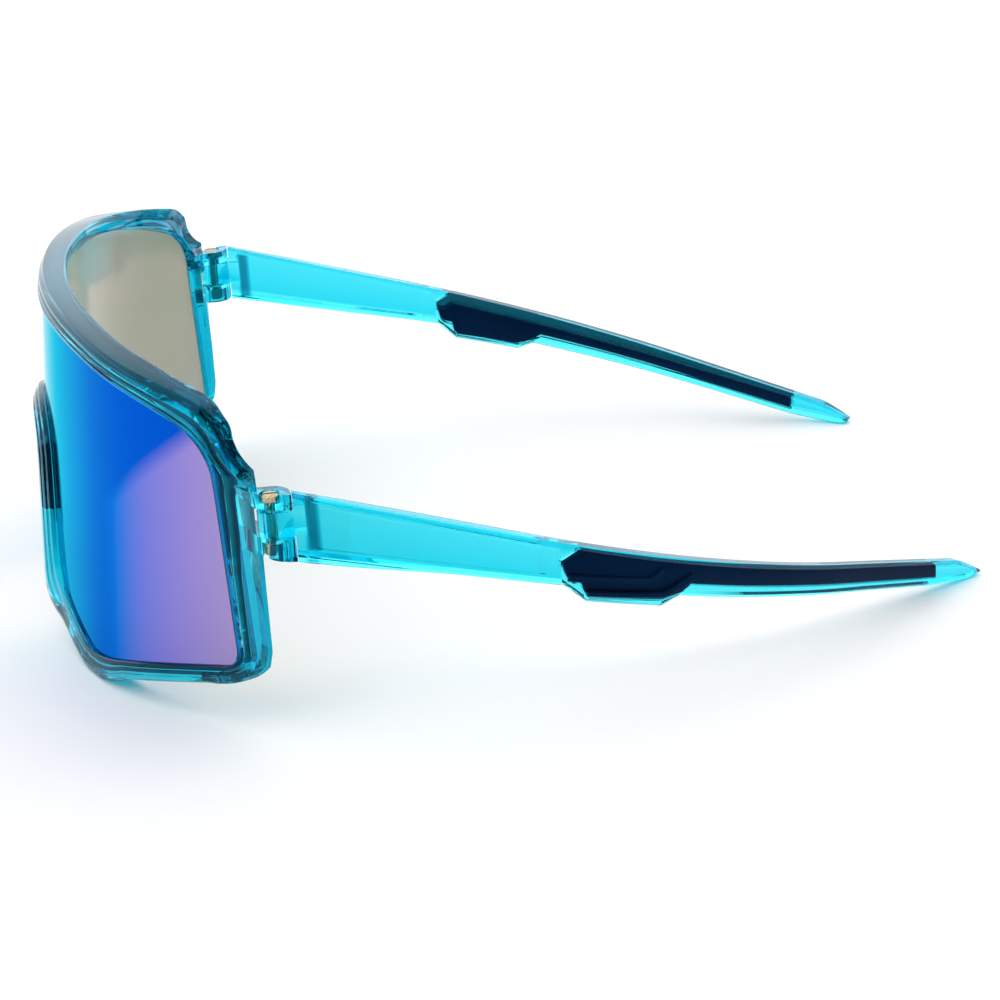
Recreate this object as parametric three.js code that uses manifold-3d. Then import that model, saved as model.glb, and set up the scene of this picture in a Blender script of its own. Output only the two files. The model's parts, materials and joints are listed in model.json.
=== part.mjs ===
// Wraparound sport sunglasses: a one-piece shield lens in a full plastic front, two folding temples with
// rubber grips on both faces, screwed barrel hinges and a pair of rubber nose pads.
// Millimetres, +Z up. X runs across the face with +X on the wearer's left, the temples run to +Y.
// The part stands open on a flat surface at Z = 0, with the middle of its outline at X = 0, Y = 0.
import * as THREE from 'three';
import Module from 'manifold-3d';
import { mergeVertices } from 'three/addons/utils/BufferGeometryUtils.js';

const wasm = await Module();
wasm.setup();

// Driving dimensions.
const OVERALL_WIDTH = 154;
const HINGE_INSET = 4.4;       // hinge axis in from the widest point
const HINGE_X = OVERALL_WIDTH / 2 - HINGE_INSET;
const HINGE_Y = -43.15;        // hinge axis in the part's own frame
const HINGE_TOP = 41.3;        // top of the hinge block
const HINGE_BOTTOM = 31;       // underside of the hinge block
const SPLIT_Y = 3.2;           // where front and temple meet, behind the hinge axis
const RIM_REAR_Y = -1.9;       // flat rear edge of the side rims, just ahead of the hinge axis
const SHOULDER_BACK = -1.1;    // depth of the thin skin at the shoulders, behind the wrap surface
const SHOULDER_FOOT = 42.4;    // height at which the full depth of the side rim starts again
const GAP = 0.3;               // clearance between neighbouring pieces

// Wrap of the front in plan: a wide middle arc, a tight outer arc, then a straight run to the hinge.
const MIDDLE_RADIUS = 112;
const MIDDLE_HALF_WIDTH = 40;
const SIDE_RADIUS = 44;
const SIDE_ANGLE = THREE.MathUtils.degToRad(46);
const FRONT_Y = -33;           // foremost line of the wrap surface, from the hinge axis
const WRAP_TOP = 60;           // height at which FRONT_Y holds
const LEAN = 0.085;            // forward lean of the front, per millimetre down

// Lens and the groove that holds it, as depths behind the wrap surface.
const LENS_FRONT = -0.3;
const LENS_BACK = -1.9;
const LENS_HOLD = 1.2;         // how far the lens edge runs into the groove

// Temples in plan: straight, then an arc, then straight to the tip.
const TEMPLE_X = 75;           // outer face of the straight run
const FLARE = 0.6;             // how far the front end of a temple stands out beyond that
const BEND_START = 38;
const BEND_RADIUS = 115;
const BEND_ANGLE = THREE.MathUtils.degToRad(30);
const TEMPLE_TOP = 41.4;       // top edge at the split
const TOP_SLOPE = 0.3185;
const TEMPLE_UNDERSIDE = 30.7; // lower edge at the split
const TIP_Y = 124.5;
const TIP_ROUNDING = 2;        // length of the rounded end of a tip
const GRIP_DEPTH = 0.8;          // how deep a grip sits in its recess
const GRIP_PROUD = 0.4;        // how far it stands out

const polycarbonate = { color: 0x16b4d8, roughness: 0.12, metalness: 0 };
const mirrorLens = { color: 0x2a62d0, roughness: 0.08, metalness: 0.6 };
const rubber = { color: 0x0b1d3c, roughness: 0.75, metalness: 0 };
const steel = { color: 0xc9b078, roughness: 0.3, metalness: 0.9 };

// ---- solids and meshes ----

/** A closed three.js geometry as a manifold solid. */
function solid(geometry) {
  const bare = geometry.clone();
  bare.deleteAttribute('normal');
  bare.deleteAttribute('uv');
  const merged = mergeVertices(bare, 1e-4);
  const vertProperties = Float32Array.from(merged.attributes.position.array);
  const triVerts = Uint32Array.from(merged.index.array);
  return new wasm.Manifold(new wasm.Mesh({ numProp: 3, vertProperties, triVerts }));
}

/** A manifold solid back as a three.js geometry. */
function geometryOf(shape) {
  const mesh = shape.getMesh();
  const geometry = new THREE.BufferGeometry();
  geometry.setAttribute('position', new THREE.BufferAttribute(mesh.vertProperties, 3));
  geometry.setIndex(new THREE.BufferAttribute(mesh.triVerts, 1));
  geometry.computeVertexNormals();
  return geometry;
}

/** Moves every vertex of a geometry through a function of its own position. */
function reshape(geometry, move) {
  const position = geometry.attributes.position;
  const point = new THREE.Vector3();
  for (let i = 0; i < position.count; i += 1) {
    point.fromBufferAttribute(position, i);
    move(point);
    position.setXYZ(i, point.x, point.y, point.z);
  }
  return geometry;
}

/** The same geometry on the other side of the middle plane. */
function mirrored(geometry) {
  const twin = geometry.clone().scale(-1, 1, 1);
  const index = twin.index.array;
  for (let i = 0; i < index.length; i += 3) {
    [index[i], index[i + 1]] = [index[i + 1], index[i]];
  }
  twin.computeVertexNormals();
  return twin;
}

/** A front-view outline (x, z) as a prism running right through the front from +Y to -Y. */
function frontPrism(outline) {
  const depth = 80;
  const prism = new THREE.ExtrudeGeometry(new THREE.Shape(outline), { depth, bevelEnabled: false });
  return solid(prism.rotateX(Math.PI / 2).translate(0, depth / 4, 0));
}

/** A plan outline (x, y) as a block between two heights. */
function planBlock(shape, bottom, top) {
  const depth = top - bottom;
  const block = new THREE.ExtrudeGeometry(shape, { depth, bevelEnabled: false, curveSegments: 10 });
  return block.translate(0, 0, bottom);
}

/** An upright cylinder between two heights. */
function pillar(x, y, radius, bottom, top, sides = 24) {
  const cylinder = new THREE.CylinderGeometry(radius, radius, top - bottom, sides);
  return cylinder.rotateX(Math.PI / 2).translate(x, y, (top + bottom) / 2);
}

// ---- the wrap surface ----

const middleAngle = Math.asin(MIDDLE_HALF_WIDTH / MIDDLE_RADIUS);
const middleArc = MIDDLE_RADIUS * middleAngle;
const sideArc = SIDE_RADIUS * (SIDE_ANGLE - middleAngle);

/** Point and heading of the plan curve at arc length s from the middle plane. */
function wrapPoint(s) {
  if (s <= middleArc) {
    const angle = s / MIDDLE_RADIUS;
    return { x: MIDDLE_RADIUS * Math.sin(angle), y: MIDDLE_RADIUS * (1 - Math.cos(angle)), angle };
  }
  const angle = Math.min(middleAngle + (s - middleArc) / SIDE_RADIUS, SIDE_ANGLE);
  const run = Math.max(s - middleArc - sideArc, 0);
  const middle = wrapPoint(middleArc);
  return {
    x: middle.x + SIDE_RADIUS * (Math.sin(angle) - Math.sin(middleAngle)) + run * Math.cos(SIDE_ANGLE),
    y: middle.y + SIDE_RADIUS * (Math.cos(middleAngle) - Math.cos(angle)) + run * Math.sin(SIDE_ANGLE),
    angle,
  };
}

/** Where the front leans to at height z, from the hinge axis. */
function leanY(z) {
  return FRONT_Y - LEAN * (WRAP_TOP - z);
}

/** A slab that follows the wrap surface; front and back give its depth at arc length s and height z. */
function wrapSlab(front, back, columns = 48, rows = 6) {
  const halfArc = 90;
  const top = 64;
  const bottom = -4;
  const box = new THREE.BoxGeometry(2, 1, 2, columns, 1, rows);
  return solid(reshape(box, (point) => {
    const s = Math.abs(point.x) * halfArc;
    const z = THREE.MathUtils.mapLinear(point.z, -1, 1, bottom, top);
    const depth = point.y < 0 ? front(s, z) : back(s, z);
    const plan = wrapPoint(s);
    const x = plan.x + depth * Math.sin(plan.angle);
    point.set(Math.sign(point.x) * x, leanY(z) + plan.y - depth * Math.cos(plan.angle), z);
  }));
}

/** A front-view half outline, from the top of the middle plane to its foot, closed by its mirror image. */
function closedByMirror(half, divisions = 7) {
  const points = half.getPoints(divisions);
  const twin = points.slice(1, -1).reverse().map((point) => new THREE.Vector2(-point.x, point.y));
  return points.concat(twin);
}

/** An outline grown outwards by a distance; it runs clockwise. */
function grown(outline, distance) {
  return outline.map((point, i) => {
    const before = outline[(i + outline.length - 1) % outline.length];
    const after = outline[(i + 1) % outline.length];
    const along = after.clone().sub(before).normalize();
    return new THREE.Vector2(point.x - along.y * distance, point.y + along.x * distance);
  });
}

/** Outer outline of the front: brow, shoulder, side, lower rim, resting lobe, nose side and nose arch. */
function frontOutline() {
  const half = new THREE.Path();
  half.moveTo(0, 60.9);
  half.bezierCurveTo(28, 60.9, 48, 58.8, 61.6, 53.2);
  half.quadraticCurveTo(64.6, 51.9, 65.6, 48.2);
  half.quadraticCurveTo(66.8, 44.6, 70.4, 42.9);
  half.lineTo(71.6, HINGE_TOP);
  half.lineTo(73, 31);
  half.quadraticCurveTo(71.9, 28.8, 71.9, 26);
  half.lineTo(72.6, 14.4);
  half.quadraticCurveTo(72.7, 10.4, 69.4, 8.6);
  half.quadraticCurveTo(67.4, 7.2, 64, 6.4);
  half.lineTo(49.6, 2.6);
  half.quadraticCurveTo(44.4, 0, 41.6, 0);
  half.lineTo(37.4, 0);
  half.quadraticCurveTo(34.6, 0.4, 29.4, 2.2);
  half.lineTo(21.4, 4.2);
  half.quadraticCurveTo(16.4, 5.4, 15.4, 9.4);
  half.lineTo(13.6, 18);
  half.quadraticCurveTo(12.6, 25.6, 11, 29.4);
  half.bezierCurveTo(9.2, 33.8, 5.4, 35.4, 0, 35.4);
  return closedByMirror(half);
}

/** Edge of the lens that shows. */
function lensOutline() {
  const half = new THREE.Path();
  half.moveTo(0, 56.4);
  half.bezierCurveTo(30, 58.2, 46, 56.6, 59, 49.4);
  half.quadraticCurveTo(62.4, 47.4, 63.2, 42.4);
  half.lineTo(66.2, 15);
  half.quadraticCurveTo(66.5, 10.4, 62, 9);
  half.lineTo(48.4, 5.6);
  half.quadraticCurveTo(40.6, 3.4, 36.4, 4.7);
  half.lineTo(26.6, 8.4);
  half.quadraticCurveTo(20.4, 10.8, 18.8, 16.4);
  half.lineTo(15.8, 30);
  half.bezierCurveTo(13.6, 37.4, 7.8, 39.1, 0, 39.1);
  return closedByMirror(half);
}

const smooth = THREE.MathUtils.smoothstep;

/** How far the rim stands in front of the wrap surface: proud round the nose, less at the brow and side. */
function rimFront(s, z) {
  const below = 1 - smooth(z, 36, 48);
  const inboard = 1 - smooth(s, 24, 76);
  const browBevel = smooth(z, 57, 61);
  return 0.5 + 1.4 * below * inboard - 1.1 * browBevel;
}

/** Back of the rim, deepest at the middle of the brow. */
function rimBack(s) {
  return -4.9 + 1.2 * smooth(s, 20, 70);
}

// ---- front ----

/** Plan of the hinge block: outer skin, flat rear face and a round barrel about the hinge axis. */
function hingeBlockPlan() {
  const barrel = 3.2;
  const plan = new THREE.Shape();
  plan.moveTo(66.2, -8.6);
  plan.quadraticCurveTo(75.2, -1.2, 75.6, SPLIT_Y);
  plan.lineTo(HINGE_X, SPLIT_Y);
  plan.absarc(HINGE_X, 0, barrel, Math.PI / 2, Math.PI);
  plan.lineTo(HINGE_X - barrel, -1.6);
  plan.lineTo(63, -8);
  return plan;
}

const SKIN_LEAN = 0.24;        // sideways, per millimetre of height

/** Leans the outer skin at the hinge so that its lower edge stands further out, fading to the rear. */
function leanOut(point) {
  const middle = (HINGE_TOP + HINGE_BOTTOM) / 2;
  const fade = 1 - smooth(point.y, SPLIT_Y, 30);
  const outside = smooth(point.x, HINGE_X, HINGE_X + 2);
  point.x += SKIN_LEAN * (middle - point.z) * fade * outside;
}

const TONGUE_BOTTOM = 34.5;
const TONGUE_TOP = 38.6;
const TONGUE_RADIUS = 2.3;
const SLOT_RADIUS = TONGUE_RADIUS + GAP;
const SCREW_HEAD_RADIUS = 1.4;
const SCREW_HEAD_DEPTH = 1.1;
const SCREW_RADIUS = 0.65;
const INSERT_RADIUS = 1.5;
const INSERT_HEIGHT = 2;

/** Slot between the two ears of the hinge, open to the rear and to the inside. */
function hingeSlot(bottom, top) {
  const inside = HINGE_X - 12;
  const slot = new THREE.Shape();
  slot.moveTo(inside, -SLOT_RADIUS);
  slot.lineTo(HINGE_X, -SLOT_RADIUS);
  slot.absarc(HINGE_X, 0, SLOT_RADIUS, -Math.PI / 2, 0);
  slot.lineTo(HINGE_X + SLOT_RADIUS, SPLIT_Y + 2);
  slot.lineTo(inside, SPLIT_Y + 2);
  return solid(planBlock(slot, bottom, top));
}

/** The hinge block at the left of the front, with its slot, screw hole, head seat and insert pocket. */
function hingeBlock() {
  const columns = planBlock(hingeBlockPlan(), HINGE_BOTTOM, HINGE_TOP);
  const block = solid(reshape(columns, leanOut));
  const slot = hingeSlot(TONGUE_BOTTOM - GAP, TONGUE_TOP + GAP);
  const hole = solid(pillar(HINGE_X, 0, SCREW_RADIUS + GAP, HINGE_BOTTOM - 1, HINGE_TOP + 1));
  const seatFloor = HINGE_TOP - SCREW_HEAD_DEPTH - GAP;
  const seat = solid(pillar(HINGE_X, 0, SCREW_HEAD_RADIUS + GAP, seatFloor, HINGE_TOP + 1));
  const pocketTop = HINGE_BOTTOM + INSERT_HEIGHT + GAP;
  const pocket = solid(pillar(HINGE_X, 0, INSERT_RADIUS + GAP, HINGE_BOTTOM - 1, pocketTop));
  return { block, cuts: slot.add(hole).add(seat).add(pocket) };
}

const PAD_BOTTOM = 21;
const PAD_TOP = 34;
const PAD_THICKNESS = 2;
const PEG_HEIGHTS = [24, 30];
const PEG_RADIUS = 0.7;
const PEG_SETBACK = 2.2;       // pegs behind the wrap surface
const PEG_INNER = 10;          // pegs and their holes, from the middle plane
const PEG_OUTER = 13.4;

/** A row of pegs across the nose side, for the pads and, with a clearance, for their holes. */
function padPegs(radius, inner, outer) {
  const pegs = PEG_HEIGHTS.map((z) => {
    const peg = new THREE.CylinderGeometry(radius, radius, outer - inner, 16);
    const y = leanY(z) + PEG_SETBACK;
    return solid(peg.rotateZ(Math.PI / 2).translate((inner + outer) / 2, y, z));
  });
  return pegs[0].add(pegs[1]);
}

/** Everything behind the side rims: a flat rear plane that rounds forward at the lower corner. */
function rearTrim() {
  const width = 200;
  const high = 80;
  const low = 6;
  const rear = 30;
  const shape = new THREE.Shape();
  shape.moveTo(RIM_REAR_Y, high);
  shape.lineTo(RIM_REAR_Y, 14.5);
  shape.quadraticCurveTo(RIM_REAR_Y - 0.2, 11, -4.1, 10);
  shape.lineTo(-10, low);
  shape.lineTo(rear, low);
  shape.lineTo(rear, high);
  const trim = new THREE.ExtrudeGeometry(shape, { depth: width, bevelEnabled: false });
  return solid(trim.rotateX(Math.PI / 2).rotateZ(Math.PI / 2).translate(-width / 2, 0, 0));
}

/** The hollow behind each shoulder, where the rim thins from its full depth to a thin skin. */
function shoulderHollow() {
  const thinFrom = 63;
  const thinTo = 71;
  const innerEdge = 58;
  const size = 30;
  const skin = (s) => THREE.MathUtils.lerp(rimBack(s) - 1, SHOULDER_BACK, smooth(s, thinFrom, thinTo));
  const hollow = wrapSlab(skin, () => -14, 72, 1);
  const corner = new THREE.BoxGeometry(size, 80, size);
  const otherCorner = corner.clone().translate(-innerEdge - size / 2, 0, SHOULDER_FOOT + size / 2);
  corner.translate(innerEdge + size / 2, 0, SHOULDER_FOOT + size / 2);
  return hollow.intersect(solid(corner).add(solid(otherCorner)));
}

/** The front: one moulded piece with brow, rims, lens groove and both hinge blocks. */
function frontFrame() {
  const body = wrapSlab(rimFront, rimBack).intersect(frontPrism(frontOutline()))
    .subtract(rearTrim()).subtract(shoulderHollow());
  const opening = lensOutline();
  const groove = wrapSlab(() => LENS_FRONT + GAP, () => LENS_BACK - GAP, 48, 1)
    .intersect(frontPrism(grown(opening, LENS_HOLD + GAP)));
  const hinge = hingeBlock();
  const otherBlock = solid(mirrored(geometryOf(hinge.block)));
  const otherCuts = solid(mirrored(geometryOf(hinge.cuts)));
  const pegHoles = padPegs(PEG_RADIUS + GAP, PEG_INNER - 4, PEG_OUTER + 1);
  const otherHoles = solid(mirrored(geometryOf(pegHoles)));
  return body.add(hinge.block).add(otherBlock)
    .subtract(frontPrism(opening)).subtract(groove)
    .subtract(hinge.cuts).subtract(otherCuts)
    .subtract(pegHoles).subtract(otherHoles);
}

/** The shield lens: one wrapped sheet, its edge held in the groove. */
function shieldLens() {
  const sheet = wrapSlab(() => LENS_FRONT, () => LENS_BACK, 48, 1);
  return sheet.intersect(frontPrism(grown(lensOutline(), LENS_HOLD)));
}

/** A rubber pad that follows the nose side of the rim, with two pegs that plug into it. */
function nosePad() {
  const rim = frontOutline();
  const skin = frontPrism(grown(rim, GAP + PAD_THICKNESS)).subtract(frontPrism(grown(rim, GAP)));
  const noseSide = new THREE.BoxGeometry(12, 80, PAD_TOP - PAD_BOTTOM);
  noseSide.translate(10, 0, (PAD_TOP + PAD_BOTTOM) / 2);
  const pad = skin.intersect(solid(noseSide)).intersect(wrapSlab(() => 0.6, () => -7, 48, 2));
  return pad.add(padPegs(PEG_RADIUS, PEG_INNER, PEG_OUTER));
}

// ---- temples ----

/** Outer face of a temple in plan, with its heading, at distance y behind the hinge axis. */
function templePlan(y) {
  const flare = FLARE * Math.max(1 - y / 30, 0) ** 2;
  const bendEnd = BEND_START + BEND_RADIUS * Math.sin(BEND_ANGLE);
  const along = THREE.MathUtils.clamp(y, BEND_START, bendEnd) - BEND_START;
  const angle = Math.asin(along / BEND_RADIUS);
  const sag = BEND_RADIUS * (1 - Math.cos(angle)) + Math.max(y - bendEnd, 0) * Math.tan(BEND_ANGLE);
  return { x: TEMPLE_X + flare - sag, angle };
}

/** Reads a value off a list of [y, value] stations, straight between them. */
function between(stations, y) {
  const next = stations.findIndex((station) => station[0] >= y);
  if (next <= 0) {
    return next === 0 ? stations[0][1] : stations[stations.length - 1][1];
  }
  const [y0, v0] = stations[next - 1];
  const [y1, v1] = stations[next];
  return THREE.MathUtils.mapLinear(y, y0, y1, v0, v1);
}

const templeTop = (y) => TEMPLE_TOP - TOP_SLOPE * (y - SPLIT_Y);

// Lower edge of a temple: straight, a hump under the grip, then straight down to the resting tip.
const UNDERSIDE = [
  [SPLIT_Y, TEMPLE_UNDERSIDE], [45.4, 20.6], [48.9, 17.3], [61.6, 14.1],
  [64.8, 15.2], [116, 0], [120, 0],
];
const THICKNESS = [[SPLIT_Y, 3.6], [45, 3.1], [100, 3], [TIP_Y, 2.8]];

/** A bar along the temple: an eight-sided section carried along the stations of y. */
function templeBar({ stations, top, bottom, outer, inner, chamfer }) {
  const sides = 8;
  const bar = new THREE.CylinderGeometry(1, 1, 1, sides, stations.length - 1, false, Math.PI / sides);
  return reshape(bar, (point) => {
    const station = Math.round((0.5 - point.y) * (stations.length - 1));
    const y = stations[station];
    const halfHeight = (top(y) - bottom(y)) / 2;
    const halfWidth = (outer(y) - inner(y)) / 2;
    const cut = Math.min(chamfer, halfHeight * 0.9, halfWidth * 0.9);
    const onSide = Math.abs(point.x) > Math.abs(point.z);
    const across = onSide ? halfWidth : halfWidth - cut;
    const up = onSide ? halfHeight - cut : halfHeight;
    const depth = (outer(y) + inner(y)) / 2 + Math.sign(Math.round(point.x * 10)) * across;
    const z = (top(y) + bottom(y)) / 2 - Math.sign(Math.round(point.z * 10)) * up;
    const plan = templePlan(y);
    point.set(plan.x + depth * Math.cos(plan.angle), y + depth * Math.sin(plan.angle), z);
    leanOut(point);
  });
}

/** Evenly spaced stations between two ends, both included. */
function stretch(from, to, count) {
  return Array.from({ length: count + 1 }, (unused, i) => THREE.MathUtils.lerp(from, to, i / count));
}

const hump = [45.4, 48.9, 55, 61.6, 64.8];

/** Upper and lower edge of a grip; both run to a blunt nose at the front and taper away at the rear. */
const GRIP_TOP = [[45.6, 24.6], [48.6, 26.1], [90, 13.1], [114.6, 5.3]];
const GRIP_BOTTOM = [[45.6, 23.6], [49.4, 18.2], [62, 15.1], [66.4, 15.8], [90, 9.2], [114.6, 2.2]];
const gripStations = [45.6, 48.6, 49.4, 55, 62, 66.4, ...stretch(72, 114.6, 7)];

/** A grip, or with a positive margin the recess that takes it, on the outer (1) or inner (-1) face. */
function gripBar(face, margin) {
  const thickness = (y) => between(THICKNESS, y);
  const sunk = GRIP_DEPTH + margin;
  const proud = margin > 0 ? 3 : GRIP_PROUD;
  const stations = gripStations.slice();
  stations[0] -= margin;
  stations[stations.length - 1] += margin;
  return templeBar({
    stations,
    top: (y) => between(GRIP_TOP, y) + margin,
    bottom: (y) => between(GRIP_BOTTOM, y) - margin,
    outer: (y) => (face > 0 ? proud : sunk - thickness(y)),
    inner: (y) => (face > 0 ? -sunk : -proud - thickness(y)),
    chamfer: 0.3,
  });
}

/** Hinge tongue: a round eye about the hinge axis with a neck back into the temple. */
function hingeTongue() {
  const plan = new THREE.Shape();
  plan.absarc(HINGE_X, 0, TONGUE_RADIUS, Math.PI, 2 * Math.PI);
  plan.lineTo(HINGE_X + TONGUE_RADIUS, SPLIT_Y + 2);
  plan.lineTo(HINGE_X - TONGUE_RADIUS, SPLIT_Y + 2);
  return solid(planBlock(plan, TONGUE_BOTTOM, TONGUE_TOP));
}

/** A temple: the long bar with its hump and tip, the hinge tongue and both grip recesses. */
function temple() {
  const start = SPLIT_Y + GAP;
  const tipStations = [120, TIP_Y - TIP_ROUNDING, TIP_Y - 1.2, TIP_Y - 0.5, TIP_Y - 0.1, TIP_Y];
  const stations = [start, 8, 14, 22, 30, BEND_START, ...hump, ...stretch(72, 116, 7), ...tipStations];
  const lower = (y) => between(UNDERSIDE, y);
  const pinch = (y) => {
    const into = Math.max(y - (TIP_Y - TIP_ROUNDING), 0) / TIP_ROUNDING;
    return (1 - Math.sqrt(1 - 0.96 * into ** 2)) * (templeTop(y) - lower(y)) / 2;
  };
  const bar = solid(templeBar({
    stations,
    top: (y) => templeTop(y) - pinch(y),
    bottom: (y) => lower(y) + pinch(y),
    outer: () => 0,
    inner: (y) => -between(THICKNESS, y),
    chamfer: 0.7,
  }));
  const hole = solid(pillar(HINGE_X, 0, SCREW_RADIUS + GAP, TONGUE_BOTTOM - 1, TONGUE_TOP + 1));
  return bar.add(hingeTongue()).subtract(hole)
    .subtract(solid(gripBar(1, GAP))).subtract(solid(gripBar(-1, GAP)));
}

// ---- hinge hardware ----

/** Hinge screw: slotted round head over a plain shank, turned about the hinge axis. */
function hingeScrew() {
  const foot = HINGE_BOTTOM + INSERT_HEIGHT + 2 * GAP;
  const profile = [
    [0, foot], [SCREW_RADIUS, foot], [SCREW_RADIUS, HINGE_TOP - SCREW_HEAD_DEPTH],
    [SCREW_HEAD_RADIUS, HINGE_TOP - SCREW_HEAD_DEPTH], [SCREW_HEAD_RADIUS, HINGE_TOP - 0.3],
    [SCREW_HEAD_RADIUS - 0.3, HINGE_TOP], [0, HINGE_TOP],
  ].map(([radius, z]) => new THREE.Vector2(radius, z));
  const turned = new THREE.LatheGeometry(profile, 24).rotateX(Math.PI / 2);
  const slot = new THREE.BoxGeometry(0.5, 4, 1).translate(0, 0, HINGE_TOP);
  return geometryOf(solid(turned).subtract(solid(slot)));
}

/** Threaded insert: a six-sided nut pressed up into the underside of the hinge block. */
function hingeInsert() {
  const bottom = HINGE_BOTTOM + 0.2;
  const nut = solid(pillar(0, 0, INSERT_RADIUS, bottom, bottom + INSERT_HEIGHT, 6));
  return geometryOf(nut.subtract(solid(pillar(0, 0, SCREW_RADIUS, bottom - 1, bottom + 5))));
}

// ---- scene graph ----

function named(name, geometry, finish) {
  const mesh = new THREE.Mesh(geometry, new THREE.MeshStandardMaterial(finish));
  mesh.name = name;
  return mesh;
}

/** One side's hinge assembly in a group at its hinge axis; side is 1 for the wearer's left. */
function hingeGroup(side, prefix, pieces) {
  const group = new THREE.Group();
  group.position.set(side * HINGE_X, 0, 0);
  for (const { name, geometry, finish, atHinge } of pieces) {
    const local = atHinge ? geometry : geometry.clone().translate(-HINGE_X, 0, 0);
    group.add(named(`${prefix}_${name}`, side > 0 ? local : mirrored(local), finish));
  }
  return group;
}

const templePieces = [
  { name: 'temple', geometry: geometryOf(temple()), finish: polycarbonate },
  { name: 'outer_grip', geometry: geometryOf(solid(gripBar(1, 0))), finish: rubber },
  { name: 'inner_grip', geometry: geometryOf(solid(gripBar(-1, 0))), finish: rubber },
  { name: 'hinge_screw', geometry: hingeScrew(), finish: steel, atHinge: true },
  { name: 'hinge_insert', geometry: hingeInsert(), finish: steel, atHinge: true },
];

const pad = geometryOf(nosePad());
const sunglasses = new THREE.Group();
sunglasses.position.y = HINGE_Y;
sunglasses.add(named('front_frame', geometryOf(frontFrame()), polycarbonate));
sunglasses.add(named('shield_lens', geometryOf(shieldLens()), mirrorLens));
sunglasses.add(named('left_nose_pad', pad, rubber));
sunglasses.add(named('right_nose_pad', mirrored(pad), rubber));
sunglasses.add(hingeGroup(1, 'left', templePieces));
sunglasses.add(hingeGroup(-1, 'right', templePieces));

export default sunglasses;
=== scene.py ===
"""The finished look of a pair of wraparound sport sunglasses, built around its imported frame.

One clear moulded front holds a mirrored shield lens. Two temples of the same clear plastic fold on screwed
hinges and carry rubber grips. Shapes are worked out in millimetres from the hinge axis line: X runs across
the face, Y runs back along the temples and Z is up.
"""

import json
import logging
import math
from dataclasses import dataclass, field
from enum import Enum

import bmesh
import bpy
import numpy as np
from mathutils import Matrix, Vector


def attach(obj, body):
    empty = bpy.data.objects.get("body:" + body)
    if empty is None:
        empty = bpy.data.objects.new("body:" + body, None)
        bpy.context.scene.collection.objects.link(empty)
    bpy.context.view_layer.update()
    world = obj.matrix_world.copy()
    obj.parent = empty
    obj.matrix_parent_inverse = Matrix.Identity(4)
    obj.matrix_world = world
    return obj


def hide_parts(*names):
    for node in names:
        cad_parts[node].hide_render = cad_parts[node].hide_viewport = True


log = logging.getLogger("sunglasses")
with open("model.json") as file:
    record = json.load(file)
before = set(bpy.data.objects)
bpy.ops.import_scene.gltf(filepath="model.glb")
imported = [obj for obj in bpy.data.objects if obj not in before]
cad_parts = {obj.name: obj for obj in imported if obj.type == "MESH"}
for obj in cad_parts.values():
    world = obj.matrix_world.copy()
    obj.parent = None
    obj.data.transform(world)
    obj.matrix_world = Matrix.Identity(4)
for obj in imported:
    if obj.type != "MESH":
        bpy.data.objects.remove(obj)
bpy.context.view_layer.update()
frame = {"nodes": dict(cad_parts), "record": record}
MM = 0.001
HINGE = [joint for joint in frame["record"]["behaviour"]["joints"] if joint["name"] == "left_temple_fold"][0]
HINGE_X, HINGE_Y = (value / MM for value in HINGE["pos_m"][:2])

GAP = 0.3  # Play between pieces that fit into each other.
SPLIT_Y = 3.2  # Where front and temple part, behind the hinge axis.
SKIN_LEAN = 0.24  # How far the outer skin at the hinge leans out for each millimetre down.
SKIN_MIDDLE = 36.15  # Height at which the leaning skin stands where its plan says.
LEAN_END = 30.0  # Where the lean has faded out along the temple.
TONGUE_BOTTOM = 34.5
TONGUE_TOP = 38.6
SCREW_BORE = 0.95  # Radius of the bores that the hinge screw passes through.
CREASE = 32.0  # Edges sharper than this many degrees stay sharp.


class Side(Enum):
    """Which side of the face a piece is on, as the wearer sees it."""

    LEFT = 1
    RIGHT = -1

    @property
    def label(self) -> str:
        """The side's name as it stands in node and body names."""
        return self.name.lower()


def smooth(value: np.ndarray, low: float, high: float) -> np.ndarray:
    """Cubic ease from 0 at low to 1 at high.

    Args:
        value: What is eased.
        low: Where the ease starts.
        high: Where the ease ends.

    Returns:
        Three times the square less twice the cube of the clipped share of the way.
    """
    t = np.clip((np.asarray(value, dtype=float) - low) / (high - low), 0.0, 1.0)
    return t * t * (3.0 - 2.0 * t)


# ---- meshes ----


@dataclass
class Surface:
    """A mesh to be: vertices in millimetres from the hinge line and faces.

    Each vertex may have painted shade from 0 (clear) to 1 (dark), and each face the number of its material.
    """

    points: np.ndarray
    faces: list
    tone: np.ndarray | None = None
    finish: np.ndarray | None = None

    def mirrored(self, side: Side) -> "Surface":
        """The same surface on the given side of the middle plane."""
        return Surface(self.points * (side.value, 1, 1), self.faces, self.tone, self.finish)


def tube_faces(rings: int, sides: int, closed: bool) -> list:
    """Quads of a tube of rings with sides points each; a closed tube joins its last ring to its first.

    Args:
        rings: How many rings the tube has.
        sides: How many points each ring has.
        closed: Whether the last ring joins the first.

    Returns:
        The quads as lists of four vertex numbers.
    """
    spans = rings if closed else rings - 1
    ring = np.arange(spans)[:, None]
    side = np.arange(sides)[None, :]
    after = (ring + 1) % rings
    beside = (side + 1) % sides
    corners = [ring * sides + side, ring * sides + beside, after * sides + beside, after * sides + side]
    quads = np.stack(np.broadcast_arrays(*corners), axis=-1).reshape(-1, 4)
    return quads.tolist()


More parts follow.
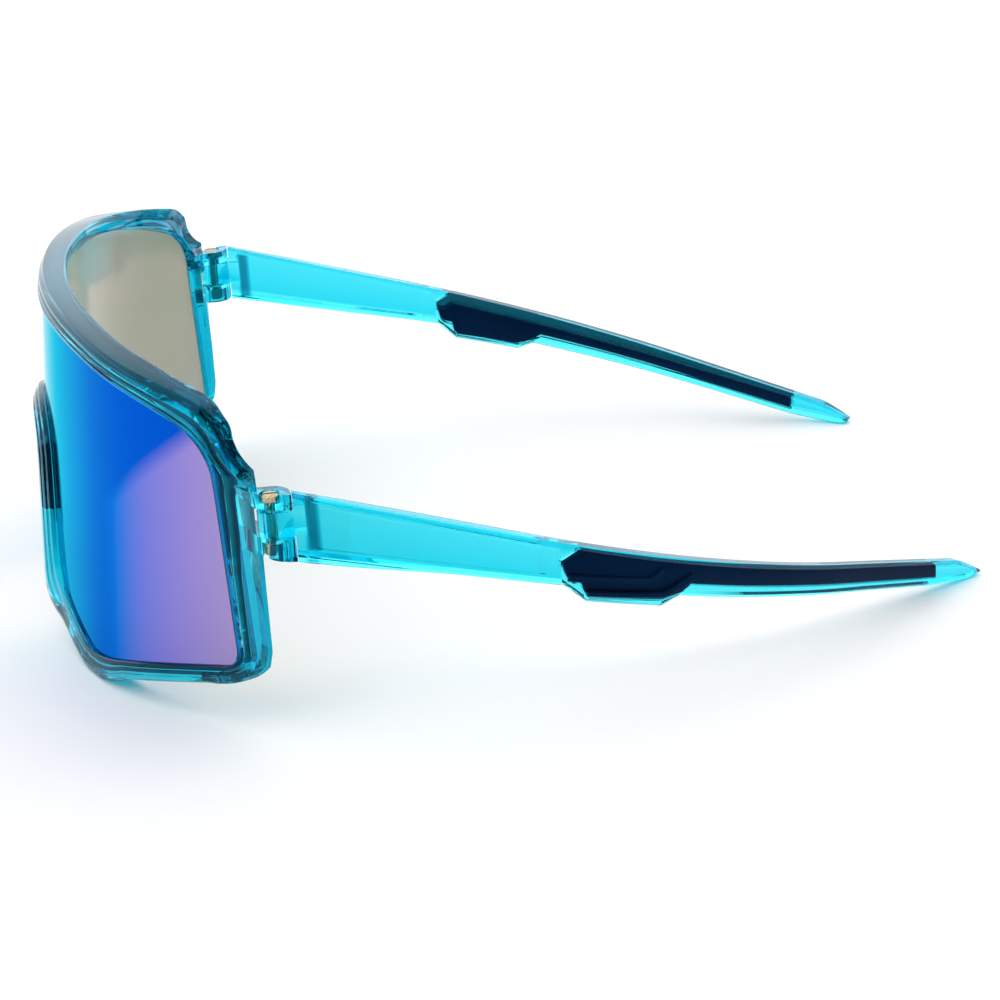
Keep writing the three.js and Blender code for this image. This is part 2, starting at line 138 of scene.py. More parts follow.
def closed_ring(grid: np.ndarray, tone: np.ndarray | None = None) -> Surface:
    """A torus-like surface from a (rings, sides, 3) grid that closes on itself both ways.

    Args:
        grid: Points by ring and side.
        tone: Painted shade at each point, or none.

    Returns:
        The surface.
    """
    rings, sides, _ = grid.shape
    faces = tube_faces(rings, sides, True)
    return Surface(grid.reshape(-1, 3), faces, None if tone is None else tone.ravel())


def capped_bar(grid: np.ndarray, tone: np.ndarray | None = None) -> Surface:
    """A bar from a (rings, sides, 3) grid, its two ends closed by one face each.

    Args:
        grid: Points by ring and side.
        tone: Painted shade at each point, or none.

    Returns:
        The surface.
    """
    rings, sides, _ = grid.shape
    faces = tube_faces(rings, sides, False)
    faces.append(list(range(sides)))
    faces.append([(rings - 1) * sides + k for k in reversed(range(sides))])
    return Surface(grid.reshape(-1, 3), faces, None if tone is None else tone.ravel())


def two_sided_sheet(front: np.ndarray, back: np.ndarray) -> Surface:
    """A sheet with thickness from two (rows, columns, 3) grids, joined round their edge.

    Args:
        front: Points of its front face.
        back: Points of its back face.

    Returns:
        The surface; its front face has finish 0 and its back and edge have finish 1.
    """
    rows, columns, _ = front.shape
    index = np.arange(rows * columns).reshape(rows, columns)
    quads = np.stack([index[:-1, :-1], index[:-1, 1:], index[1:, 1:], index[1:, :-1]], axis=-1).reshape(-1, 4)
    other = index.size
    border = np.concatenate([index[0, :-1], index[:-1, -1], index[-1, :0:-1], index[:0:-1, 0]])
    following = np.roll(border, -1)
    edge = np.stack([border, border + other, following + other, following], axis=-1)
    faces = quads.tolist() + (quads[:, ::-1] + other).tolist() + edge.tolist()
    finish = np.concatenate([np.zeros(len(quads)), np.ones(len(quads)), np.ones(len(edge))]).astype(int)
    points = np.concatenate([front.reshape(-1, 3), back.reshape(-1, 3)])
    return Surface(points, faces, None, finish)


def plan_slab(outline: np.ndarray, bottom: float, top: float) -> Surface:
    """An upright block from a plan outline (x, y) between two heights.

    Args:
        outline: Plan points in order.
        bottom: Height of its foot.
        top: Height of its top.

    Returns:
        The surface.
    """
    count = len(outline)
    low = np.column_stack([outline, np.full(count, bottom)])
    high = np.column_stack([outline, np.full(count, top)])
    return capped_bar(np.stack([low, high]))


def make_object(name: str, surface: Surface, materials: list) -> bpy.types.Object:
    """Puts a surface into the scene as an object at the origin, in metres.

    Args:
        name: Name of the object and its mesh.
        surface: The surface, in millimetres from the hinge line.
        materials: Its materials; surface.finish picks one for each face.

    Returns:
        The new object.
    """
    mesh = bpy.data.meshes.new(name)
    points = (surface.points + (0.0, HINGE_Y, 0.0)) * MM
    mesh.from_pydata(points.tolist(), [], surface.faces)
    if surface.finish is not None:
        mesh.polygons.foreach_set("material_index", surface.finish)
    # The clear plastic's painted shade goes on as a point attribute.
    if surface.tone is not None:
        tone = mesh.attributes.new("tone", "FLOAT", "POINT")
        tone.data.foreach_set("value", surface.tone.astype(np.float32))
    for material in materials:
        mesh.materials.append(material)
    tidy = bmesh.new()
    tidy.from_mesh(mesh)
    bmesh.ops.recalc_face_normals(tidy, faces=tidy.faces)
    tidy.to_mesh(mesh)
    tidy.free()
    mesh.polygons.foreach_set("use_smooth", np.ones(len(mesh.polygons), dtype=bool))
    mesh.set_sharp_from_angle(angle=math.radians(CREASE))
    made = bpy.data.objects.new(name, mesh)
    bpy.context.scene.collection.objects.link(made)
    return made


def combine(target: bpy.types.Object, other: bpy.types.Object, operation: str, tangled: bool = False) -> None:
    """Joins (UNION) or cuts (DIFFERENCE) a closed object into another, then removes it.

    Args:
        target: The object that is changed.
        other: The object that is joined or cut in and then removed.
        operation: Name of the Boolean operation.
        tangled: Whether one of the two may pass through itself.
    """
    modifier = target.modifiers.new("combine", "BOOLEAN")
    modifier.operation = operation
    modifier.solver = "EXACT"
    modifier.use_self = tangled
    modifier.object = other
    depsgraph = bpy.context.evaluated_depsgraph_get()
    result = bpy.data.meshes.new_from_object(target.evaluated_get(depsgraph))
    target.modifiers.clear()
    old = target.data
    target.data = result
    result.name = target.name
    bpy.data.meshes.remove(old)
    bpy.data.objects.remove(other)


# ---- finishes ----


def new_material(name: str) -> tuple:
    """A node material with a Principled shader.

    Args:
        name: Name of the material.

    Returns:
        The material, its node tree, its shader and its output node.
    """
    material = bpy.data.materials.new(name)
    material.use_nodes = True
    tree = material.node_tree
    shader = tree.nodes["Principled BSDF"]
    return material, tree, shader, tree.nodes["Material Output"]


def fine_grain_group() -> bpy.types.NodeTree:
    """Moulding grain shared by the plastics and rubbers: a height and a faint blotchy mask, from noise.

    Returns:
        The node group, with inputs Vector and Scale and outputs Height and Blotch.
    """
    group = bpy.data.node_groups.new("moulding_grain", "ShaderNodeTree")
    for name, kind in (("Vector", "NodeSocketVector"), ("Scale", "NodeSocketFloat")):
        group.interface.new_socket(name, in_out="INPUT", socket_type=kind)
    for name in ("Height", "Blotch"):
        group.interface.new_socket(name, in_out="OUTPUT", socket_type="NodeSocketFloat")
    inlet = group.nodes.new("NodeGroupInput")
    outlet = group.nodes.new("NodeGroupOutput")
    grain = group.nodes.new("ShaderNodeTexNoise")
    grain.inputs["Detail"].default_value = 3.0
    blotch = group.nodes.new("ShaderNodeTexNoise")
    blotch.inputs["Scale"].default_value = 90.0
    group.links.new(inlet.outputs["Vector"], grain.inputs["Vector"])
    group.links.new(inlet.outputs["Scale"], grain.inputs["Scale"])
    group.links.new(inlet.outputs["Vector"], blotch.inputs["Vector"])
    group.links.new(grain.outputs["Fac"], outlet.inputs["Height"])
    group.links.new(blotch.outputs["Fac"], outlet.inputs["Blotch"])
    return group


def add_grain(tree: bpy.types.NodeTree, group: bpy.types.NodeTree, scale: float) -> bpy.types.Node:
    """Places the grain group in a material, fed by Object coordinates.

    Args:
        tree: The material's node tree.
        group: The grain group.
        scale: How many grains there are to a metre.

    Returns:
        The group's node.
    """
    place = tree.nodes.new("ShaderNodeTexCoord")
    grain = tree.nodes.new("ShaderNodeGroup")
    grain.node_tree = group
    grain.inputs["Scale"].default_value = scale
    tree.links.new(place.outputs["Object"], grain.inputs["Vector"])
    return grain


def add_bump(tree: bpy.types.NodeTree, height: bpy.types.NodeSocket, depth: float) -> bpy.types.Node:
    """A Bump node of the given depth in metres, fed by a height.

    Args:
        tree: The material's node tree.
        height: Socket that gives the height.
        depth: Depth of the relief in metres.

    Returns:
        The Bump node.
    """
    bump = tree.nodes.new("ShaderNodeBump")
    bump.inputs["Strength"].default_value = 1.0
    bump.inputs["Distance"].default_value = depth
    tree.links.new(height, bump.inputs["Height"])
    return bump


def add_range(
    tree: bpy.types.NodeTree,
    source: bpy.types.NodeSocket,
    low: float,
    high: float,
    source_low: float = 0.0,
    source_high: float = 1.0,
) -> bpy.types.NodeSocket:
    """Maps a value from its own range to another, clamped at both ends.

    Args:
        tree: The node tree.
        source: Socket of the value.
        low: Result at source_low.
        high: Result at source_high.
        source_low: Start of the value's own range.
        source_high: End of the value's own range.

    Returns:
        Socket of the result.
    """
    node = tree.nodes.new("ShaderNodeMapRange")
    node.inputs["From Min"].default_value = source_low
    node.inputs["From Max"].default_value = source_high
    node.inputs["To Min"].default_value = low
    node.inputs["To Max"].default_value = high
    tree.links.new(source, node.inputs["Value"])
    return node.outputs["Result"]


def add_math(
    tree: bpy.types.NodeTree,
    operation: str,
    first: bpy.types.NodeSocket,
    second: bpy.types.NodeSocket | None = None,
) -> bpy.types.NodeSocket:
    """A Math node on one or two values.

    Args:
        tree: The node tree.
        operation: Name of the operation.
        first: Socket of the first value.
        second: Socket of the second value, or none.

    Returns:
        Socket of the result.
    """
    node = tree.nodes.new("ShaderNodeMath")
    node.operation = operation
    tree.links.new(first, node.inputs[0])
    if second is not None:
        tree.links.new(second, node.inputs[1])
    return node.outputs["Value"]


def add_ramp(tree: bpy.types.NodeTree, source: bpy.types.NodeSocket, stops: tuple) -> bpy.types.NodeSocket:
    """A colour ramp over (position, colour) stops.

    Args:
        tree: The node tree.
        source: Socket of the value that picks the colour.
        stops: The stops in order.

    Returns:
        Socket of the colour.
    """
    node = tree.nodes.new("ShaderNodeValToRGB")
    ramp = node.color_ramp
    while len(ramp.elements) < len(stops):
        ramp.elements.new(1.0)
    for element, (position, colour) in zip(ramp.elements, stops):
        element.position = position
        element.color = (*colour, 1.0)
    tree.links.new(source, node.inputs["Fac"])
    return node.outputs["Color"]


@dataclass(frozen=True)
class ClearPlastic:
    """Glossy translucent polycarbonate, clear cyan where it is thin, with painted shade in deep teal on
    grooves and edges.
    """

    name: str = "clear_cyan_polycarbonate"
    pale: tuple = (0.09, 0.84, 0.96)
    clear: tuple = (0.004, 0.58, 0.79)
    # middle and deep are the colours of painted shade: dark teal and near-black for grooves and edges.
    middle: tuple = (0.0008, 0.20, 0.36)
    deep: tuple = (0.0002, 0.008, 0.022)
    shadow: tuple = (0.35, 0.86, 0.95)
    glint: tuple = (0.06, 0.65, 0.95)
    transmission: float = 0.96
    ior: float = 1.52
    gloss_range: tuple = (0.0, 0.05)
    grain_scale: float = 900.0
    grain_depth: float = 0.000001

    def build(self, grain_group: bpy.types.NodeTree) -> bpy.types.Material:
        """Makes the material: painted shade picks the colour, grain gives the gloss, and lamps shine through
        tinted.

        Args:
            grain_group: The shared grain group.

        Returns:
            The material.
        """
        material, tree, shader, output = new_material(self.name)
        tone = tree.nodes.new("ShaderNodeAttribute")
        tone.attribute_name = "tone"
        # The ramp turns painted shade into colour, from pale cyan through clear cyan to near-black teal.
        stops = ((0.0, self.pale), (0.2, self.clear), (0.55, self.middle), (1.0, self.deep))
        ramp = add_ramp(tree, tone.outputs["Fac"], stops)
        tree.links.new(ramp, shader.inputs["Base Color"])
        grain = add_grain(tree, grain_group, self.grain_scale)
        gloss = add_range(tree, grain.outputs["Blotch"], *self.gloss_range)
        tree.links.new(gloss, shader.inputs["Roughness"])
        bump = add_bump(tree, grain.outputs["Height"], self.grain_depth)
        tree.links.new(bump.outputs["Normal"], shader.inputs["Normal"])
        shader.inputs["Transmission Weight"].default_value = self.transmission
        shader.inputs["IOR"].default_value = self.ior
        shader.inputs["Specular Tint"].default_value = (*self.glint, 1.0)
        rays = tree.nodes.new("ShaderNodeLightPath")
        glow = tree.nodes.new("ShaderNodeBsdfTransparent")
        glow.inputs["Color"].default_value = (*self.shadow, 1.0)
        mix = tree.nodes.new("ShaderNodeMixShader")
        tree.links.new(rays.outputs["Is Shadow Ray"], mix.inputs["Fac"])
        tree.links.new(shader.outputs["BSDF"], mix.inputs[1])
        tree.links.new(glow.outputs["BSDF"], mix.inputs[2])
        tree.links.new(mix.outputs["Shader"], output.inputs["Surface"])
        return material


@dataclass(frozen=True)
class MirrorCoat:
    """Iridescent mirror on the outside of the lens.

    From the nose out it drifts from cyan to deep blue. A violet field lies outside a border that stands
    upright low down and slants outwards higher up.
    """

    name: str = "iridescent_mirror_coat"
    half_width: float = 66.0
    edge_tint: tuple = (0.16, 0.80, 0.90)
    blues: tuple = (
        (0.00, (0.080, 0.68, 0.80)),
        (0.22, (0.003, 0.54, 0.70)),
        (0.40, (0.000, 0.31, 0.66)),
        (0.60, (0.000, 0.125, 0.60)),
        (0.74, (0.000, 0.090, 0.58)),
        (1.00, (0.001, 0.07, 0.55)),
    )
    violets: tuple = (
        (0.64, (0.001, 0.15, 0.67)),
        (0.73, (0.055, 0.165, 0.67)),
        (0.81, (0.180, 0.190, 0.65)),
        (0.90, (0.280, 0.225, 0.61)),
        (1.00, (0.360, 0.270, 0.55)),
    )
    border_low: float = 45.0
    border_high: float = 64.5
    slant_from: float = 33.0
    slant_to: float = 52.0
    border_blur: float = 2.2
    metallic: float = 0.95
    gloss_range: tuple = (0.04, 0.08)
    grain_scale: float = 500.0

    def build(self, grain_group: bpy.types.NodeTree) -> bpy.types.Material:
        """Makes the material: distance from the middle plane and height pick the mirror's colour.

        Args:
            grain_group: The shared grain group.

        Returns:
            The material.
        """
        material, tree, shader, _ = new_material(self.name)
        place = tree.nodes.new("ShaderNodeTexCoord")
        split = tree.nodes.new("ShaderNodeSeparateXYZ")
        tree.links.new(place.outputs["Object"], split.inputs["Vector"])
        distance = add_math(tree, "ABSOLUTE", split.outputs["X"])
        share = add_range(tree, distance, 0.0, 1.0, 0.0, self.half_width * MM)
        blue = add_ramp(tree, share, self.blues)
        violet = add_ramp(tree, share, self.violets)
        border = add_range(tree, split.outputs["Z"], self.border_low * MM, self.border_high * MM,
                           self.slant_from * MM, self.slant_to * MM)
        beyond = add_math(tree, "SUBTRACT", distance, border)
        field_share = add_range(tree, beyond, 0.0, 1.0, -self.border_blur * MM, self.border_blur * MM)
        mix = tree.nodes.new("ShaderNodeMix")
        mix.data_type = "RGBA"
        tree.links.new(field_share, mix.inputs["Factor"])
        tree.links.new(blue, mix.inputs["A"])
        tree.links.new(violet, mix.inputs["B"])
        tree.links.new(mix.outputs["Result"], shader.inputs["Base Color"])
        grain = add_grain(tree, grain_group, self.grain_scale)
        gloss = add_range(tree, grain.outputs["Blotch"], *self.gloss_range)
        tree.links.new(gloss, shader.inputs["Roughness"])
        shader.inputs["Metallic"].default_value = self.metallic
        shader.inputs["Specular Tint"].default_value = (*self.edge_tint, 1.0)
        return material


@dataclass(frozen=True)
class TintedBack:
    """Inside of the lens: warm khaki grey with a soft gloss."""

    name: str = "khaki_lens_back"
    inner: tuple = (0.62, 0.57, 0.47)
    outer: tuple = (0.55, 0.56, 0.38)
    gloss_range: tuple = (0.10, 0.18)
    coat: float = 0.4
    drift_scale: float = 40.0

    def build(self, grain_group: bpy.types.NodeTree) -> bpy.types.Material:
        """Makes the material: a slow drift between two khaki greys under a clear gloss.

        Args:
            grain_group: The shared grain group.

        Returns:
            The material.
        """
        material, tree, shader, _ = new_material(self.name)
        grain = add_grain(tree, grain_group, self.drift_scale)
        ramp = add_ramp(tree, grain.outputs["Height"], ((0.3, self.inner), (0.7, self.outer)))
        tree.links.new(ramp, shader.inputs["Base Color"])
        gloss = add_range(tree, grain.outputs["Blotch"], *self.gloss_range)
        tree.links.new(gloss, shader.inputs["Roughness"])
        shader.inputs["Coat Weight"].default_value = self.coat
        return material


@dataclass(frozen=True)
class Rubber:
    """Matte dark navy rubber with a fine moulded grain."""

    name: str = "navy_grip_rubber"
    low: tuple = (0.0003, 0.008, 0.036)
    high: tuple = (0.0006, 0.012, 0.050)
    glint: tuple = (0.06, 0.45, 1.0)
    glint_level: float = 0.2
    gloss_range: tuple = (0.38, 0.55)
    grain_scale: float = 2600.0
    grain_depth: float = 0.00003

    def build(self, grain_group: bpy.types.NodeTree) -> bpy.types.Material:
        """Makes the material: blotchy navy with a grain bump.

        Args:
            grain_group: The shared grain group.

        Returns:
            The material.
        """
        material, tree, shader, _ = new_material(self.name)
        grain = add_grain(tree, grain_group, self.grain_scale)
        ramp = add_ramp(tree, grain.outputs["Blotch"], ((0.3, self.low), (0.7, self.high)))
        tree.links.new(ramp, shader.inputs["Base Color"])
        gloss = add_range(tree, grain.outputs["Height"], *self.gloss_range)
        shader.inputs["Specular IOR Level"].default_value = self.glint_level
        shader.inputs["Specular Tint"].default_value = (*self.glint, 1.0)
        tree.links.new(gloss, shader.inputs["Roughness"])
        bump = add_bump(tree, grain.outputs["Height"], self.grain_depth)
        tree.links.new(bump.outputs["Normal"], shader.inputs["Normal"])
        return material


@dataclass(frozen=True)
class GoldSteel:
    """Gold-coloured hinge hardware with fine turning marks."""

    name: str = "gold_hinge_steel"
    bright: tuple = (0.62, 0.52, 0.34)
    dull: tuple = (0.26, 0.21, 0.13)
    gloss_range: tuple = (0.22, 0.38)
    grain_scale: float = 4000.0
    grain_depth: float = 0.00001

    def build(self, grain_group: bpy.types.NodeTree) -> bpy.types.Material:
        """Makes the material: warm metal whose colour and gloss vary with a fine grain.

        Args:
            grain_group: The shared grain group.

        Returns:
            The material.
        """
        material, tree, shader, _ = new_material(self.name)
        grain = add_grain(tree, grain_group, self.grain_scale)
        ramp = add_ramp(tree, grain.outputs["Height"], ((0.3, self.dull), (0.65, self.bright)))
        tree.links.new(ramp, shader.inputs["Base Color"])
        gloss = add_range(tree, grain.outputs["Height"], *self.gloss_range)
        tree.links.new(gloss, shader.inputs["Roughness"])
        shader.inputs["Metallic"].default_value = 1.0
        bump = add_bump(tree, grain.outputs["Height"], self.grain_depth)
        tree.links.new(bump.outputs["Normal"], shader.inputs["Normal"])
        return material


@dataclass
class Finishes:
    """All the materials of the sunglasses, made once."""

    plastic: bpy.types.Material = field(init=False)
    mirror: bpy.types.Material = field(init=False)
    lens_back: bpy.types.Material = field(init=False)
    rubber: bpy.types.Material = field(init=False)
    metal: bpy.types.Material = field(init=False)

    def __post_init__(self) -> None:
        """Builds every material on one shared grain group."""
        group = fine_grain_group()
        self.plastic = ClearPlastic().build(group)
        self.mirror = MirrorCoat().build(group)
        self.lens_back = TintedBack().build(group)
        self.rubber = Rubber().build(group)
        self.metal = GoldSteel().build(group)


# ---- the wrap ----


@dataclass(frozen=True)
class Wrap:
    """The curved surface that front and lens follow: an even middle arc, a tight outer arc, then straight.

    The plan curve is eased over a few millimetres where its radius changes, so that the mirror shows no kink.
    """

    middle_radius: float = 112.0
    middle_half_width: float = 40.0
    side_radius: float = 44.0
    side_angle: float = math.radians(46.0)
    foremost: float = -33.0
    top: float = 60.0
    lean: float = 0.085
    ease: float = 3.0
    reach: float = 100.0
    step: float = 0.1

    def plan(self) -> tuple:
        """The eased plan curve over one side and a little beyond.

        The slope of the arcs is smoothed with a bell-shaped weight and summed up to give y.

        Returns:
            Arrays of x, y and slope.
        """
        x = np.arange(0.0, self.reach, self.step)
        middle_angle = math.asin(self.middle_half_width / self.middle_radius)
        side_width = self.side_radius * (math.sin(self.side_angle) - math.sin(middle_angle))
        side_end = self.middle_half_width + side_width
        in_middle = np.arcsin(np.clip(x / self.middle_radius, 0, 1))
        beyond = (x - self.middle_half_width) / self.side_radius + math.sin(middle_angle)
        in_side = np.arcsin(np.clip(beyond, 0, math.sin(self.side_angle)))
        outside = np.where(x < side_end, in_side, self.side_angle)
        angle = np.where(x < self.middle_half_width, in_middle, outside)
        slope = np.tan(angle)
        window = np.arange(-4 * self.ease, 4 * self.ease + self.step / 2, self.step)
        weight = np.exp(-0.5 * (window / self.ease) ** 2)
        wide = np.concatenate([-slope[len(window):0:-1], slope, np.full(len(window), slope[-1])])
        eased = np.convolve(wide, weight / weight.sum(), mode="same")[len(window):len(window) + len(x)]
        y = np.concatenate([[0.0], np.cumsum((eased[1:] + eased[:-1]) * self.step / 2)])
        return x, y, eased

    def place(self, x: np.ndarray, z: np.ndarray, depth: np.ndarray) -> np.ndarray:
        """Points of the front view at a depth in front of (+) or behind (-) the wrap surface.

        The plan curve gives y at |x|, the lean moves it forward towards the foot, and the depth is measured
        square to the curve, so it counts as depth over the cosine of the curve's slope.

        Args:
            x: Distances across from the middle plane.
            z: Heights.
            depth: Depths in front of the wrap surface.

        Returns:
            Points in space.
        """
        plan_x, plan_y, slope = self.plan()
        away = np.abs(x)
        sag = np.interp(away, plan_x, plan_y)
        stretch = np.sqrt(1.0 + np.interp(away, plan_x, slope) ** 2)
        y = self.foremost + sag - self.lean * (self.top - z) - depth * stretch
        return np.stack(np.broadcast_arrays(x, y, z), axis=-1)

    def depth_of_plane(self, x: np.ndarray, z: np.ndarray, y: np.ndarray) -> np.ndarray:
        """The depth at which the front view point (x, z) lies at the given y.

        Args:
            x: Distances across from the middle plane.
            z: Heights.
            y: Where the point stands.

        Returns:
            The depth in front of the wrap surface.
        """
        plan_x, plan_y, slope = self.plan()
        away = np.abs(x)
        surface = self.foremost + np.interp(away, plan_x, plan_y) - self.lean * (self.top - z)
        return (surface - y) / np.sqrt(1.0 + np.interp(away, plan_x, slope) ** 2)


# ---- outlines in the front view ----


def curve(*knots: tuple, steps: int = 40) -> np.ndarray:
    """A line, quadratic or cubic Bezier through 2, 3 or 4 knots, without its last point.

    Each point is the sum of the knots, each weighted by its Bernstein polynomial.

    Args:
        knots: The knots in order.
        steps: How many points are made.

    Returns:
        The points.
    """
    degree = len(knots) - 1
    t = np.linspace(0.0, 1.0, steps, endpoint=False)[:, None]
    total = np.zeros((steps, 2))
    for k, knot in enumerate(knots):
        weight = math.comb(degree, k) * t**k * (1.0 - t) ** (degree - k)
        total = total + weight * np.array(knot, dtype=float)
    return total


def walk(path: np.ndarray, stops: list, counts: list) -> np.ndarray:
    """Points along a path, evenly spaced between stops that lie on it.

    Args:
        path: Dense points of the path.
        stops: Points that the walk passes, in order; each snaps to the path's nearest point.
        counts: How many points each stretch between two stops gets.

    Returns:
        The points, from the first stop to the last, both included.
    """
    length = np.concatenate([[0.0], np.cumsum(np.linalg.norm(np.diff(path, axis=0), axis=1))])
    marks = [length[np.argmin(np.linalg.norm(path - np.array(stop), axis=1))] for stop in stops]
    spans = [np.linspace(a, b, n, endpoint=False) for a, b, n in zip(marks[:-1], marks[1:], counts)]
    at = np.concatenate([*spans, [marks[-1]]])
    return np.column_stack([np.interp(at, length, path[:, 0]), np.interp(at, length, path[:, 1])])


def rim_outlines() -> tuple:
    """The edge of the lens that shows and the outer edge of the front, paired point by point.

    Both run from the top of the middle plane over the shoulder and side to the nose arch. Equal counts of
    points between matching stops keep the pairs square to the rim.

    Returns:
        The inner points, the outer points, and the number of points on each stretch.
    """
    outer = np.concatenate([
        curve((0, 60.9), (28, 60.9), (48, 58.8), (61.6, 53.2)),
        curve((61.6, 53.2), (64.6, 51.9), (65.6, 48.2)),
        curve((65.6, 48.2), (66.8, 44.6), (70.4, 42.9)),
        curve((70.4, 42.9), (72, 42), (72.2, 39)),
        curve((72.2, 39), (72.6, 33)),
        curve((72.6, 33), (72.1, 29.6), (71.9, 26)),
        curve((71.9, 26), (72.6, 14.4)),
        curve((72.6, 14.4), (72.7, 10.4), (69.4, 8.6)),
        curve((69.4, 8.6), (67.4, 7.2), (64, 6.4)),
        curve((64, 6.4), (49.6, 2.6)),
        curve((49.6, 2.6), (44.4, 0), (41.6, 0)),
        curve((41.6, 0), (37.4, 0)),
        curve((37.4, 0), (34.6, 0.4), (29.4, 2.2)),
        curve((29.4, 2.2), (21.4, 4.2)),
        curve((21.4, 4.2), (16.4, 5.4), (15.4, 9.4)),
        curve((15.4, 9.4), (13.6, 18)),
        curve((13.6, 18), (12.6, 25.6), (11, 29.4)),
        curve((11, 29.4), (9.2, 33.8), (5.4, 35.4), (0, 35.4)),
        [(0, 35.4)],
    ])
    inner = np.concatenate([
        curve((0, 57.0), (24, 57.0), (46, 57.0), (59, 49.4)),
        curve((59, 49.4), (62.8, 47.2), (63.9, 42.4)),
        curve((63.9, 42.4), (67.4, 13)),
        curve((67.4, 13), (67.7, 10.3), (65.2, 9.7)),
        curve((65.2, 9.7), (48.4, 5.6)),
        curve((48.4, 5.6), (40.6, 3.4), (36.4, 4.7)),
        curve((36.4, 4.7), (26.6, 8.4)),
        curve((26.6, 8.4), (20.4, 10.8), (18.8, 16.4)),
        curve((18.8, 16.4), (15.8, 30)),
        curve((15.8, 30), (13.6, 37.4), (7.8, 39.1), (0, 39.1)),
        [(0, 39.1)],
    ])
    outer_stops = [
        (0, 60.9), (46, 57.9), (58, 54.8), (64.4, 51.4), (65.6, 48.2), (69.6, 43.2), (72.2, 39), (72, 26),
        (72.6, 14.4), (69.4, 8.6), (64, 6.4), (49.6, 2.6), (37.4, 0), (25.4, 3.2), (15.6, 9), (13.6, 18),
        (11, 29.4), (0, 35.4),
    ]
    inner_stops = [
        (0, 57), (45, 54.6), (56, 51), (60.8, 48.2), (62.4, 46), (63.8, 43), (64.4, 38.5), (65.8, 26),
        (67.3, 14), (67, 10.4), (64, 9.5), (48.4, 5.6), (37.4, 4.4), (26.6, 8.4), (20.2, 12.6), (18.4, 18.2),
        (15.8, 30), (0, 39.1),
    ]
    counts = [44, 16, 16, 16, 18, 14, 14, 10, 10, 8, 12, 12, 12, 10, 8, 12, 24]
    return walk(inner, inner_stops, counts), walk(outer, outer_stops, counts), counts


# ---- the front ----

# Sections of the rim. Each row is (share of the way from the lens to the outer edge, depth, painted shade);
# the rows from REAR_ROW on lie behind. The painted shade darkens grooves and edges, standing for the dark
# lines that refraction and internal reflection make in the clear plastic.
REAR_ROW = 14
BROW = (
    (0.00, -0.10, 0.3), (0.00, 0.20, 0.5), (0.03, 0.32, 0.0), (0.12, 0.34, 0.0), (0.15, 0.05, 1.0),
    (0.23, 0.03, 1.0), (0.26, 0.26, 0.0), (0.39, 0.20, 0.0), (0.42, -0.10, 1.0), (0.52, -0.12, 1.0),
    (0.55, 0.08, 0.0), (0.68, 0.02, 0.2), (0.76, -0.25, 1.0), (1.00, -0.70, 0.9),
    (1.00, -4.20, 0.9), (0.97, -4.65, 0.0), (0.88, -4.85, 0.0), (0.56, -4.85, 0.0), (0.52, -4.50, 0.4),
    (0.10, -4.30, 0.5), (0.00, -4.00, 0.4), (0.00, -2.10, 0.3),
)
SHOULDER = (
    (0.00, -0.10, 0.3), (0.00, 0.20, 0.5), (0.03, 0.32, 0.0), (0.13, 0.34, 0.0), (0.16, 0.02, 1.0),
    (0.24, 0.00, 1.0), (0.27, 0.30, 0.0), (0.38, 0.28, 0.0), (0.41, 0.00, 1.0), (0.56, 0.00, 1.0),
    (0.60, 0.26, 0.1), (0.78, 0.20, 0.0), (0.84, -0.05, 1.0), (1.00, -0.30, 0.9),
    (1.00, -1.00, 0.8), (0.97, -1.20, 0.2), (0.88, -1.30, 0.3), (0.56, -1.50, 0.8), (0.52, -1.60, 0.9),
    (0.10, -2.90, 0.5), (0.00, -2.90, 0.4), (0.00, -2.10, 0.3),
)
SIDE = (
    (0.00, -0.10, 0.3), (0.00, 0.10, 0.8), (0.03, 0.16, 0.2), (0.08, 0.16, 0.0), (0.11, -0.10, 1.0),
    (0.18, -0.10, 1.0), (0.21, 0.18, 0.0), (0.26, 0.18, 0.0), (0.29, -0.10, 1.0), (0.37, -0.08, 1.0),
    (0.41, 0.20, 0.0), (0.80, 0.35, 0.0), (0.94, 0.30, 0.0), (1.00, 0.10, 0.0),
    (1.00, -4.20, 0.0), (0.97, -4.20, 0.0), (0.88, -4.30, 0.0), (0.56, -4.30, 0.0), (0.52, -4.30, 0.0),
    (0.10, -4.20, 0.2), (0.00, -4.00, 0.4), (0.00, -2.10, 0.3),
)
LOWER = (
    (0.00, -0.10, 0.6), (0.00, 0.20, 1.0), (0.04, 0.40, 1.0), (0.20, 0.50, 1.0), (0.24, 0.40, 0.2),
    (0.30, 0.42, 0.2), (0.33, 0.55, 1.0), (0.48, 0.60, 1.0), (0.51, 0.50, 0.1), (0.62, 0.50, 0.0),
    (0.66, 0.60, 0.0), (0.84, 0.55, 0.0), (0.95, 0.30, 0.0), (1.00, -0.10, 0.0),
    (1.00, -3.90, 0.0), (0.97, -4.20, 0.0), (0.88, -4.40, 0.0), (0.56, -4.50, 0.0), (0.52, -4.50, 0.1),
    (0.10, -4.40, 0.3), (0.00, -4.20, 0.4), (0.00, -2.10, 0.3),
)
NOSE = (
    (0.00, -0.10, 0.3), (0.00, 0.35, 0.6), (0.05, 0.80, 0.2), (0.16, 1.00, 0.0), (0.20, 0.80, 0.8),
    (0.26, 0.95, 0.8), (0.30, 1.35, 0.1), (0.46, 1.60, 0.0), (0.50, 1.35, 0.9), (0.56, 1.40, 0.9),
    (0.60, 1.80, 0.1), (0.84, 1.90, 0.0), (0.95, 1.75, 0.1), (1.00, 1.30, 0.2),
    (1.00, -4.10, 0.1), (0.97, -4.50, 0.0), (0.88, -4.80, 0.0), (0.56, -4.90, 0.0), (0.52, -4.90, 0.0),
    (0.10, -4.60, 0.3), (0.00, -4.30, 0.4), (0.00, -2.10, 0.3),
)


def faded(section: tuple, share: float) -> np.ndarray:
    """A section with only a share of its painted shade."""
    return np.array(section) * (1.0, 1.0, share)


